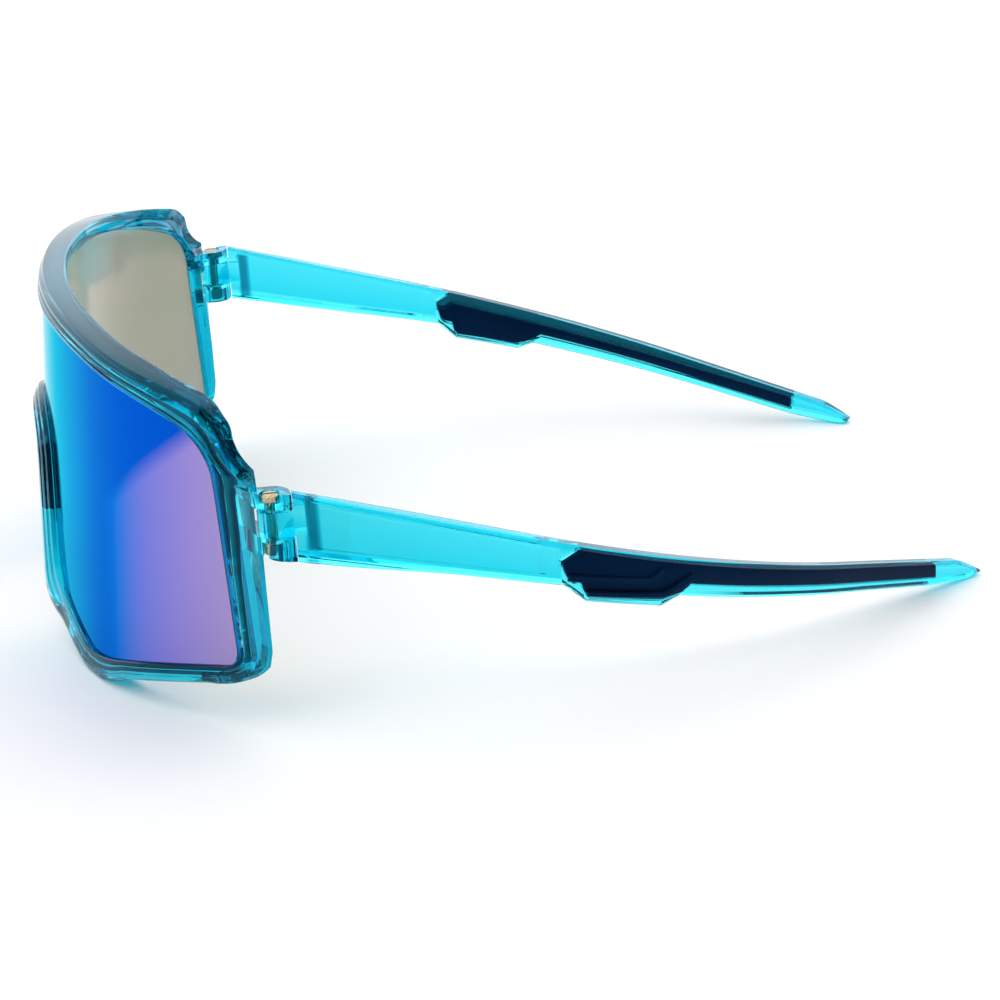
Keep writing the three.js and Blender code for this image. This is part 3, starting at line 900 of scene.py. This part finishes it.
def thinned(section: tuple, back: float) -> np.ndarray:
    """A section whose outer rear rows stand at the given depth instead of their own.

    Args:
        section: The section.
        back: Depth of its outermost rear row.

    Returns:
        The changed section.
    """
    rows = np.array(section)
    rear = slice(REAR_ROW, REAR_ROW + 5)
    rows[rear, 1] += back - rows[REAR_ROW, 1]
    return rows


@dataclass
class Front:
    """The front: one clear moulding, a rim all round the lens with a hinge block on each side."""

    finishes: Finishes
    wrap: Wrap = field(default_factory=Wrap)
    groove: float = 0.75
    groove_tone: float = 0.4
    rim_tone: float = 0.16
    groove_top: float = -0.1
    groove_floor: float = -2.1
    rear_plane: float = -1.9
    lens_hold: float = 0.45
    lens_front: float = -0.3
    lens_back: float = -1.9
    block_top: float = 41.3
    block_bottom: float = 31.0
    skin: tuple = ((67.9, -5.0), (75.2, -1.4))
    skin_x: float = 75.6
    block_root: tuple = (66.6, -3.8)
    barrel: float = 3.2
    barrel_front: float = -1.6
    slot_radius: float = 2.6
    slot_reach: float = 12.0
    bore_end: float = 43.0
    bore_start: float = 29.0
    head_bore: float = 1.7
    head_depth: float = 1.4
    insert_bore: float = 1.8
    insert_top: float = 33.3
    rear_corner: tuple = ((6.0, -12.0), (7.3, -8.1), (10.0, -4.1), (11.5, -2.5))
    corner_end: float = 14.5
    lens_columns: int = 181
    lens_rows: int = 61

    def sections(self, counts: list) -> np.ndarray:
        """The rim's section at every point of the half outline, eased from one named section to the next.

        Args:
            counts: How many points each stretch of the outline has.

        Returns:
            Sections by outline point, each with rows of share, depth and painted shade.
        """
        order = [
            faded(BROW, 0.6), BROW, thinned(BROW, -2.8),
            thinned(SHOULDER, -1.4), thinned(SHOULDER, -1.0), thinned(SHOULDER, -0.9),
            SIDE, SIDE, SIDE, LOWER, LOWER, LOWER, LOWER, faded(LOWER, 0.3),
            faded(NOSE, 0.3), faded(NOSE, 0.3), NOSE, NOSE,
        ]
        named = np.array(order)
        place = np.concatenate([k + np.arange(n) / n for k, n in enumerate(counts)] + [[len(counts)]])
        first = np.minimum(place.astype(int), len(counts) - 1)
        share = smooth(place - first, 0.0, 1.0)[:, None, None]
        return named[first] * (1 - share) + named[first + 1] * share

    def rear_limit(self, z: np.ndarray) -> np.ndarray:
        """Rear plane of the rims; it rounds forward at the lower corner."""
        heights, planes = np.transpose([*self.rear_corner, (self.corner_end, self.rear_plane)])
        return np.interp(z, heights, planes)

    def rim(self) -> Surface:
        """The rim as a closed ring.

        A point lies its share of the way from the lens edge to the outer edge, at its section's depth, held
        in front of the rear plane. Two more rows run the groove into the rim square to the lens edge.

        Returns:
            The surface with its painted shade.
        """
        inner, outer, counts = rim_outlines()
        section = self.sections(counts)
        across = outer - inner
        unit = across / np.linalg.norm(across, axis=1, keepdims=True)
        flat = inner[:, None, :] + across[:, None, :] * section[:, :, :1]
        depth = section[:, :, 1]
        # Painted shade: a little over the whole rim, more on the groove and edge rows of each section.
        tone = self.rim_tone + (1 - self.rim_tone) * section[:, :, 2]
        behind = np.arange(section.shape[1]) >= REAR_ROW
        limit = self.wrap.depth_of_plane(flat[..., 0], flat[..., 1], self.rear_limit(flat[..., 1]))
        depth = np.maximum(depth, limit + np.where(behind, 0.0, 0.5))
        root = inner + unit * self.groove
        groove_flat = np.stack([root, root], axis=1)
        groove_depth = np.broadcast_to([self.groove_floor, self.groove_top], (len(inner), 2))
        flat = np.concatenate([flat, groove_flat], axis=1)
        depth = np.concatenate([depth, groove_depth], axis=1)
        tone = np.concatenate([tone, np.full((len(inner), 2), self.groove_tone)], axis=1)
        half = self.wrap.place(flat[..., 0], flat[..., 1], depth)
        twin = half[-2:0:-1] * (-1, 1, 1)
        return closed_ring(np.concatenate([half, twin]), np.concatenate([tone, tone[-2:0:-1]]))

    def lens(self) -> Surface:
        """The lens: a sheet whose grid is spanned between its top, bottom and two side edges.

        Each point blends the four edges linearly along both grid directions, less the bilinear blend of the
        corners, and is then laid on the wrap at the front and the back of the sheet.

        Returns:
            The surface, mirror side first.
        """
        inner, outer, counts = rim_outlines()
        across = outer - inner
        edge = inner + across / np.linalg.norm(across, axis=1, keepdims=True) * self.lens_hold
        ends = np.cumsum(counts)
        top = edge[:ends[1] + 1]
        side = edge[ends[1]:ends[9] + 1]
        bottom = edge[ends[9]:][::-1]
        s = np.linspace(-1.0, 1.0, self.lens_columns)
        v = np.linspace(0.0, 1.0, self.lens_rows)[:, None]
        top_x = s * top[-1, 0]
        top_z = np.interp(np.abs(top_x), top[:, 0], top[:, 1])
        bottom_x = s * bottom[-1, 0]
        bottom_z = np.interp(np.abs(bottom_x), bottom[:, 0], bottom[:, 1])
        length = np.concatenate([[0.0], np.cumsum(np.linalg.norm(np.diff(side, axis=0), axis=1))])
        at = (1.0 - v[:, 0]) * length[-1]
        side_x = np.interp(at, length, side[:, 0])[:, None]
        side_z = np.interp(at, length, side[:, 1])[:, None]
        span_x = (1 - v) * bottom_x + v * top_x + side_x * s
        span_x = span_x - ((1 - v) * bottom_x[-1] + v * top_x[-1]) * s
        corner = (1 - v) * bottom_z[-1] + v * top_z[-1]
        span_z = (1 - v) * bottom_z + v * top_z + side_z - corner
        front = self.wrap.place(span_x, span_z, np.full_like(span_x, self.lens_front))
        back = self.wrap.place(span_x, span_z, np.full_like(span_x, self.lens_back))
        return two_sided_sheet(front, back)

    def block_plan(self) -> np.ndarray:
        """Plan of a hinge block: outer skin, flat rear face and a round barrel about the hinge axis.

        Returns:
            Plan points in order.
        """
        turn = np.linspace(math.pi / 2, math.pi, 16)
        round_part = np.column_stack([HINGE_X + self.barrel * np.cos(turn), self.barrel * np.sin(turn)])
        skin = curve(*self.skin, (self.skin_x, SPLIT_Y), steps=24)
        inside = [(HINGE_X - self.barrel, self.barrel_front), self.block_root]
        return np.concatenate([skin, [(self.skin_x, SPLIT_Y)], round_part, inside])

    def hinge_block(self, side: Side) -> bpy.types.Object:
        """A solid hinge block.

        Args:
            side: Its side of the face.

        Returns:
            The block as an object, for joining to the rim.
        """
        block = plan_slab(self.block_plan(), self.block_bottom, self.block_top)
        lean_out(block.points)
        return make_object("hinge_block", block.mirrored(side), [self.finishes.plastic])

    def hinge_hollow(self, side: Side) -> bpy.types.Object:
        """The room taken out of a hinge block: a slot for the tongue, and bores for screw and insert.

        Args:
            side: Its side of the face.

        Returns:
            The room as an object, for cutting from the front.
        """
        radius = self.slot_radius
        start = HINGE_X - self.slot_reach
        end = SPLIT_Y + 2
        turn = np.linspace(-math.pi / 2, 0, 12)
        slot_round = np.column_stack([HINGE_X + radius * np.cos(turn), radius * np.sin(turn)])
        slot = np.concatenate([[(start, -radius)], slot_round, [(HINGE_X + radius, end), (start, end)]])
        room = plan_slab(slot, TONGUE_BOTTOM - GAP, TONGUE_TOP + GAP)
        made = make_object("hinge_hollow", room.mirrored(side), [self.finishes.plastic])
        bores = (
            (SCREW_BORE, self.bore_start, self.bore_end),
            (self.head_bore, self.block_top - self.head_depth, self.bore_end),
            (self.insert_bore, self.bore_start, self.insert_top),
        )
        for bore_radius, bottom, top in bores:
            bore = plan_slab(circle(HINGE_X, 0.0, bore_radius), bottom, top)
            combine(made, make_object("bore", bore.mirrored(side), [self.finishes.plastic]), "UNION")
        return made

    def build(self) -> None:
        """Makes the front and its lens and puts them in the place of their CAD nodes."""
        front = make_object("clear_front", self.rim(), [self.finishes.plastic])
        for side in Side:
            combine(front, self.hinge_block(side), "UNION", tangled=True)
        for side in Side:
            combine(front, self.hinge_hollow(side), "DIFFERENCE", tangled=True)
        front.data.set_sharp_from_angle(angle=math.radians(CREASE))
        dress(front, "front", "clear_plastic", "front_frame")
        lens = make_object("mirror_shield_lens", self.lens(), [self.finishes.mirror, self.finishes.lens_back])
        dress(lens, "front", "mirror_lens", "shield_lens")


def circle(x: float, y: float, radius: float, sides: int = 32) -> np.ndarray:
    """A circle in plan, as points at even angles.

    Args:
        x: Middle of the circle across.
        y: Middle of the circle along.
        radius: Its radius.
        sides: How many points it has.

    Returns:
        The points.
    """
    turn = np.linspace(0, 2 * math.pi, sides, endpoint=False)
    return np.column_stack([x + radius * np.cos(turn), y + radius * np.sin(turn)])


def lean_out(points: np.ndarray) -> None:
    """Leans the outer skin at the hinge so that its lower edge stands further out, fading to the rear.

    Args:
        points: The points, changed in place.
    """
    fade = 1 - smooth(points[..., 1], SPLIT_Y, LEAN_END)
    outside = smooth(points[..., 0], HINGE_X, HINGE_X + 2)
    points[..., 0] += SKIN_LEAN * (SKIN_MIDDLE - points[..., 2]) * fade * outside


def dress(piece: bpy.types.Object, body: str, slot: str, *nodes: str) -> None:
    """Rides a finished piece on its body and lets it stand for CAD nodes.

    Args:
        piece: The finished piece.
        body: The body it moves with.
        slot: Its material slot in the record; not used.
        nodes: The CAD nodes it stands for.
    """
    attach(piece, body)
    if nodes:
        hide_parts(*nodes)
    log.info("%s: %d vertices", piece.name, len(piece.data.vertices))


# ---- the temples ----


@dataclass
class Temple:
    """One temple: a long bar with a hump, its hinge tongue, and a rubber grip on each face."""

    finishes: Finishes
    side: Side
    outer_x: float = 75.0
    flare: float = 0.6
    bend_start: float = 38.0
    bend_radius: float = 115.0
    bend_angle: float = math.radians(30.0)
    top: float = 41.4
    slope: float = 0.3185
    tip: float = 124.5
    tip_rounding: float = 1.6
    tip_dip: float = 1.3
    grip_front: float = 45.3
    grip_rear: float = 114.3
    grip_depth: float = 0.8
    grip_proud: float = 0.4
    split_gap: float = 0.14
    ridge_width: float = 1.15
    ridge_height: float = 0.8
    panel_depth: float = 1.0
    panel_margin: float = 1.35
    panel_front: tuple = (5.2, 7.4)
    panel_rear: tuple = (40.5, 43.5)
    bevel_front: tuple = (5.0, 5.4)
    bevel_rear: tuple = (6.8, 7.4)
    bevel_tone: float = 0.8
    chamfer: float = 0.6
    eye_radius: float = 2.3
    # Widths and edges along the bar, as (y, value) points.
    wall: tuple = ((SPLIT_Y, 3.6), (45, 3.1), (100, 3.0), (124.5, 2.8))
    lower_edge: tuple = ((SPLIT_Y, 30.7), (45.4, 20.6), (48.9, 17.3), (61.6, 14.1), (64.8, 15.2), (75, 12.4),
                         (84, 10.0), (100, 5.6), (114.3, 1.5), (122.5, 0.0), (125, 0.0))
    grip_upper: tuple = ((45.3, 24.8), (48.6, 26.5), (61.0, 22.4), (90.0, 13.3), (114.3, 5.7))
    grip_lower: tuple = ((45.3, 24.2), (45.8, 22.3), (46.6, 21.4), (48.2, 20.9), (48.6, 19.2), (49.3, 18.2),
                         (61.6, 15.5), (64.6, 16.0), (66.6, 17.1), (76.0, 14.4), (87.0, 11.3), (114.3, 3.2))
    inner_lower_by: tuple = ((44.9, 0.2), (46.5, 1.6), (80, 1.4), (114.7, 0.3))
    upper_rib: tuple = ((45.9, 22.2), (59.2, 19.3), (60.2, 19.5), (61.9, 20.6))
    lower_rib: tuple = ((48.9, 19.1), (61.4, 16.5), (62.7, 16.8), (67.0, 18.5))

    def plan(self, y: np.ndarray) -> tuple:
        """Outer face in plan and its heading: straight, an arc, then straight; x and angle at each y.

        Args:
            y: Distances behind the hinge.

        Returns:
            Arrays of x and of the heading's angle.
        """
        flare = self.flare * np.clip(1 - y / 30, 0, None) ** 2
        bend_end = self.bend_start + self.bend_radius * math.sin(self.bend_angle)
        along = np.clip(y, self.bend_start, bend_end) - self.bend_start
        angle = np.arcsin(along / self.bend_radius)
        beyond = np.clip(y - bend_end, 0, None)
        sag = self.bend_radius * (1 - np.cos(angle)) + beyond * math.tan(self.bend_angle)
        return self.outer_x + flare - sag, angle

    def place(self, y: np.ndarray, depth: np.ndarray, z: np.ndarray) -> np.ndarray:
        """Points at a depth outside (+) or inside (-) the outer face at distance y behind the hinge.

        Args:
            y: Distances behind the hinge.
            depth: Depths outside the outer face.
            z: Heights.

        Returns:
            Points in space.
        """
        x, angle = self.plan(y)
        spread = np.broadcast_arrays(x + depth * np.cos(angle), y + depth * np.sin(angle), z)
        points = np.stack(spread, axis=-1)
        lean_out(points)
        return points

    def upper(self, y: np.ndarray) -> np.ndarray:
        """Top edge: one straight slope that dips towards the tip."""
        return self.top - self.slope * (y - SPLIT_Y) - self.tip_dip * smooth(y, self.tip - 5, self.tip)

    def lower(self, y: np.ndarray) -> np.ndarray:
        """Lower edge: straight, a hump under the grip, then straight down to the resting tip."""
        return np.interp(y, *np.transpose(self.lower_edge))

    def thickness(self, y: np.ndarray) -> np.ndarray:
        """Thickness of the bar."""
        return np.interp(y, *np.transpose(self.wall))

    def pinch(self, y: np.ndarray) -> np.ndarray:
        """How far the rounded end draws in from its top and its foot: the height of a circular arc.

        Args:
            y: Distances behind the hinge.

        Returns:
            The height that top and foot each lose.
        """
        into = np.clip(y - (self.tip - self.tip_rounding), 0, None) / self.tip_rounding
        return (1 - np.sqrt(1 - 0.96 * into**2)) * (self.upper(y) - self.lower(y)) / 2

    def grip_top(self, y: np.ndarray) -> np.ndarray:
        """Upper edge of the grips."""
        return np.interp(y, *np.transpose(self.grip_upper))

    def inner_drop(self, y: np.ndarray) -> np.ndarray:
        """How much lower the upper edge of the inner grip stands than that of the outer one."""
        return np.interp(y, *np.transpose(self.inner_lower_by))

    def grip_bottom(self, y: np.ndarray) -> np.ndarray:
        """Lower edge of the grips: two notches at the front end, a heel at the hump, then a long taper."""
        return np.interp(y, *np.transpose(self.grip_lower))

    def bar(self) -> Surface:
        """The bar: a chamfered section carried along y, with a seat for a grip or a sunk panel in each face.

        Returns:
            The surface with its painted shade.
        """
        seat_start = self.grip_front - GAP
        seat_end = self.grip_rear + GAP
        y = np.unique(np.concatenate([
            np.linspace(SPLIT_Y + self.split_gap, 44.9, 90),
            np.linspace(45.1, 50, 48),
            np.linspace(50.3, 68, 50),
            np.linspace(68.6, 114.2, 70),
            [seat_start - 0.01, seat_start, seat_end, seat_end + 0.01],
            np.linspace(115, self.tip - self.tip_rounding, 12),
            self.tip - self.tip_rounding * (1 - np.sin(np.linspace(0, math.pi / 2, 10))),
        ]))
        top = self.upper(y) - self.pinch(y)
        foot = self.lower(y) + self.pinch(y)
        wall = self.thickness(y)
        cut = np.minimum(self.chamfer, 0.45 * (top - foot))
        in_grip = ((y >= seat_start) & (y <= seat_end)).astype(float)
        in_panel = smooth(y, *self.panel_front) * (1 - smooth(y, *self.panel_rear))
        clamp = np.clip(y, self.grip_front, self.grip_rear)
        margin = np.minimum(self.panel_margin, 0.35 * (top - foot))
        high = np.where(in_grip > 0, self.grip_top(clamp) + GAP, top - margin)
        low = np.where(in_grip > 0, self.grip_bottom(clamp) - GAP, foot + margin)
        high = np.minimum(high, top - 1.05 * cut)
        low = np.maximum(low, foot + 1.05 * cut)
        inner_high = high - in_grip * self.inner_drop(y)
        seat = in_grip * (self.grip_depth + GAP)
        panel = np.maximum(seat, self.panel_depth * in_panel)
        zero = np.zeros_like(y)
        # Each row is (height, depth, painted shade); the edges and the rims of the seats get a little painted
        # shade.
        rows = [
            (top - cut, zero, 0.25), (high + 0.1 * margin, zero, 0.0),
            (high, -0.1 * (seat > 0), 0.1), (high, -seat, 0.2),
            (low, -seat, 0.2), (low, -0.1 * (seat > 0), 0.1),
            (low - 0.1 * margin, zero, 0.0), (foot + cut, zero, 0.0),
            (foot, -cut, 0.1), (foot, cut - wall, 0.1),
            (foot + cut, -wall, 0.0), (low - 0.2 * margin, -wall, 0.0),
            (low, panel - wall, 0.05), (inner_high, panel - wall, 0.05),
            (inner_high + 0.2 * margin, -wall, 0.0), (top - cut, -wall, 0.1),
            (top, cut - wall, 0.2), (top, -cut, 0.2),
        ]
        inner_face = slice(11, 15)
        depth = np.stack([row[1] for row in rows], axis=1)
        z = np.stack([row[0] for row in rows], axis=1)
        tone = np.broadcast_to([row[2] for row in rows], z.shape).copy()
        # Painted shade on the slope where the inner panel sinks in, just behind the hinge.
        bevel = smooth(y, *self.bevel_front) * (1 - smooth(y, *self.bevel_rear))
        tone[:, inner_face] += self.bevel_tone * bevel[:, None]
        return capped_bar(self.place(y[:, None], depth, z), tone)

    def grip(self, face: int) -> Surface:
        """A grip on the outer (1) or inner (-1) face: a bar with rounded edges that fills its seat.

        Args:
            face: Which face of the temple it is on.

        Returns:
            The surface.
        """
        y = np.concatenate([np.linspace(self.grip_front, 50, 48), np.linspace(50.3, 68, 50),
                            np.linspace(68.6, self.grip_rear, 70)])
        high = self.grip_top(y) - (0 if face > 0 else self.inner_drop(y))
        low = self.grip_bottom(y)
        round_off = np.minimum(0.35, 0.3 * (high - low))
        wall = self.thickness(y)
        sunk = -self.grip_depth
        proud = self.grip_proud
        rows = [(high, sunk), (high, proud - round_off), (high - round_off * 0.3, proud - round_off * 0.3),
                (high - round_off, proud + 0 * y), (low + round_off, proud + 0 * y),
                (low + round_off * 0.3, proud - round_off * 0.3), (low, proud - round_off), (low, sunk)]
        z = np.stack([row[0] for row in rows], axis=1)
        out = np.stack([np.broadcast_to(row[1], y.shape) for row in rows], axis=1)
        depth = out if face > 0 else -wall[:, None] - out
        return capped_bar(self.place(y[:, None], depth, z))

    def ridge(self, route: tuple) -> Surface:
        """A raised rib on the outer grip along a bent route of (y, z) points.

        The route is resampled evenly and its corners eased by a running mean. A section with rounded
        shoulders is carried along it, square to the route within the grip's face.

        Args:
            route: Corner points of the rib's middle line.

        Returns:
            The surface.
        """
        knots = np.array(route, dtype=float)
        length = np.concatenate([[0.0], np.cumsum(np.linalg.norm(np.diff(knots, axis=0), axis=1))])
        at = np.linspace(0, length[-1], 80)
        line = np.column_stack([np.interp(at, length, knots[:, 0]), np.interp(at, length, knots[:, 1])])
        padded = np.concatenate([np.repeat(line[:1], 2, axis=0), line, np.repeat(line[-1:], 2, axis=0)])
        line[2:-2] = sum(padded[k:k + len(line)] for k in range(5))[2:-2] / 5
        along = np.gradient(line, axis=0)
        along /= np.linalg.norm(along, axis=1, keepdims=True)
        across = np.column_stack([-along[:, 1], along[:, 0]])
        half = self.ridge_width / 2
        section = np.array([(-half, -0.1), (-half + 0.12, 0.7), (-half + 0.3, 1.0), (half - 0.3, 1.0),
                            (half - 0.12, 0.7), (half, -0.1)])
        flat = line[:, None, :] + across[:, None, :] * section[None, :, :1]
        depth = self.grip_proud + np.broadcast_to(section[:, 1] * self.ridge_height, flat.shape[:2])
        return capped_bar(self.place(flat[..., 0], depth, flat[..., 1]))

    def tongue(self) -> Surface:
        """Hinge tongue: a round eye about the hinge axis with a neck back into the bar.

        Returns:
            The surface.
        """
        radius = self.eye_radius
        turn = np.linspace(math.pi, 2 * math.pi, 20)
        eye = np.column_stack([HINGE_X + radius * np.cos(turn), radius * np.sin(turn)])
        neck = [(HINGE_X + radius, SPLIT_Y + 2), (HINGE_X - radius, SPLIT_Y + 2)]
        return plan_slab(np.concatenate([eye, neck]), TONGUE_BOTTOM, TONGUE_TOP)

    def build(self) -> None:
        """Makes the temple and its grips and puts them in the place of their CAD nodes."""
        label = self.side.label
        body = f"{label}_temple_arm"
        bar = make_object(f"{label}_clear_temple", self.bar().mirrored(self.side), [self.finishes.plastic])
        tongue = self.tongue().mirrored(self.side)
        combine(bar, make_object("tongue", tongue, [self.finishes.plastic]), "UNION")
        bore = plan_slab(circle(HINGE_X, 0.0, SCREW_BORE), 30.0, 42.0)
        combine(bar, make_object("bore", bore.mirrored(self.side), []), "DIFFERENCE")
        bar.data.set_sharp_from_angle(angle=math.radians(CREASE))
        dress(bar, body, "clear_plastic", f"{label}_temple")
        for face, place in ((1, "outer"), (-1, "inner")):
            shape = self.grip(face).mirrored(self.side)
            grip = make_object(f"{label}_{place}_rubber_grip", shape, [self.finishes.rubber])
            dress(grip, body, "grip_rubber", f"{label}_{place}_grip")
        for place, route in (("upper", self.upper_rib), ("lower", self.lower_rib)):
            shape = self.ridge(route).mirrored(self.side)
            rib = make_object(f"{label}_{place}_grip_rib", shape, [self.finishes.rubber])
            dress(rib, body, "grip_rubber")


@dataclass
class SmallParts:
    """The pieces that keep their CAD shape: screws, inserts and nose pads."""

    finishes: Finishes

    def build(self) -> None:
        """Gives each of them its finish."""
        for side in Side:
            self.finish(f"{side.label}_hinge_screw", self.finishes.metal)
            self.finish(f"{side.label}_hinge_insert", self.finishes.metal)
            self.finish(f"{side.label}_nose_pad", self.finishes.rubber)

    def finish(self, node: str, material: bpy.types.Material) -> None:
        """Puts one material on every slot of a CAD node.

        Args:
            node: Name of the CAD node.
            material: The material it gets.
        """
        piece = frame["nodes"][node]
        for slot in piece.material_slots:
            slot.material = material
        log.info("%s: new finish", node)


# ---- studio ----


@dataclass(frozen=True)
class Studio:
    """White table, soft lights and the camera, all in metres in the part's frame."""

    azimuth: float = math.radians(82.38)
    elevation: float = math.radians(20.84)
    roll: float = math.radians(-3.82)
    distance: float = 0.537
    target: tuple = (0.0, 0.00275, 0.0079)
    lens: float = 104.2
    tent_bright: float = 1.85
    tent_dark: float = 0.10
    tent_span: tuple = (-0.15, 0.7)
    sun_from: tuple = (-0.8, -0.15, 1.0)
    sun_strength: float = 4.2
    sun_spread: float = 150.0
    lamp_place: tuple = (0.5, -0.9, 0.9)
    lamp_size: float = 0.35
    lamp_power: float = 1.2
    table_half: float = 3.0
    table_colour: tuple = (0.93, 0.93, 0.94)
    table_roughness: float = 0.6

    def camera(self) -> None:
        """Sets the camera on a sphere about its target, turned by its roll."""
        a, e, r = self.azimuth, self.elevation, self.roll
        back = Vector((math.sin(a) * math.cos(e), -math.cos(a) * math.cos(e), math.sin(e)))
        right = Vector((math.cos(a), math.sin(a), 0.0))
        up = back.cross(right)
        turned_right = math.cos(r) * right + math.sin(r) * up
        turned_up = math.cos(r) * up - math.sin(r) * right
        data = bpy.data.cameras.new("camera")
        data.lens = self.lens
        camera = bpy.data.objects.new("camera", data)
        bpy.context.scene.collection.objects.link(camera)
        turn = Matrix((turned_right, turned_up, back)).transposed()
        place = Vector(self.target) + back * self.distance
        camera.matrix_world = Matrix.Translation(place) @ turn.to_4x4()
        bpy.context.scene.camera = camera

    def floor(self) -> None:
        """A pale floor, wide enough to fill the view."""
        half = self.table_half
        mesh = bpy.data.meshes.new("table")
        corners = [(-half, -half, 0), (half, -half, 0), (half, half, 0), (-half, half, 0)]
        mesh.from_pydata(corners, [], [(0, 1, 2, 3)])
        material, _, shader, _ = new_material("white_table")
        shader.inputs["Base Color"].default_value = (*self.table_colour, 1.0)
        shader.inputs["Roughness"].default_value = self.table_roughness
        mesh.materials.append(material)
        table = bpy.data.objects.new("table", mesh)
        bpy.context.scene.collection.objects.link(table)

    def sun(self, name: str, towards: tuple, strength: float, spread: float) -> None:
        """A broad even light from one direction; its spread in degrees softens the shadows.

        Args:
            name: Name of the light.
            towards: Direction from the sunglasses to the light.
            strength: Strength of the light.
            spread: Angle it covers, in degrees.
        """
        data = bpy.data.lights.new(name, "SUN")
        data.energy = strength
        data.angle = math.radians(spread)
        lamp = bpy.data.objects.new(name, data)
        lamp.rotation_euler = (-Vector(towards)).to_track_quat("-Z", "Y").to_euler()
        bpy.context.scene.collection.objects.link(lamp)

    def light(self, name: str, place: tuple, size: float, power: float) -> None:
        """A square soft light that faces the sunglasses.

        Args:
            name: Name of the light.
            place: Where it stands, in metres.
            size: Its side in metres.
            power: Its power in watts.
        """
        data = bpy.data.lights.new(name, "AREA")
        data.size = size
        data.energy = power
        lamp = bpy.data.objects.new(name, data)
        lamp.location = place
        lamp.rotation_euler = (-Vector(place)).to_track_quat("-Z", "Y").to_euler()
        bpy.context.scene.collection.objects.link(lamp)

    def build(self) -> None:
        """Sets up camera, floor, lights and a surround that is bright on the right and dim on the left."""
        self.camera()
        self.floor()
        self.sun("overhead", self.sun_from, self.sun_strength, self.sun_spread)
        self.light("front_left", self.lamp_place, self.lamp_size, self.lamp_power)
        world = bpy.data.worlds.new("studio")
        world.use_nodes = True
        sky = world.node_tree.nodes["Background"]
        tree = world.node_tree
        place = tree.nodes.new("ShaderNodeTexCoord")
        split = tree.nodes.new("ShaderNodeSeparateXYZ")
        tree.links.new(place.outputs["Generated"], split.inputs["Vector"])
        strength = add_range(tree, split.outputs["X"], self.tent_bright, self.tent_dark,
                             *self.tent_span)
        tree.links.new(strength, sky.inputs["Strength"])
        bpy.context.scene.world = world
        bpy.context.scene.view_settings.view_transform = "Standard"


def main() -> None:
    """Builds the studio and every piece, in order."""
    logging.basicConfig(level=logging.INFO, format="%(name)s: %(message)s")
    Studio().build()
    finishes = Finishes()
    Front(finishes).build()
    for side in Side:
        Temple(finishes, side).build()
    SmallParts(finishes).build()


if __name__ == "__main__":
    main()
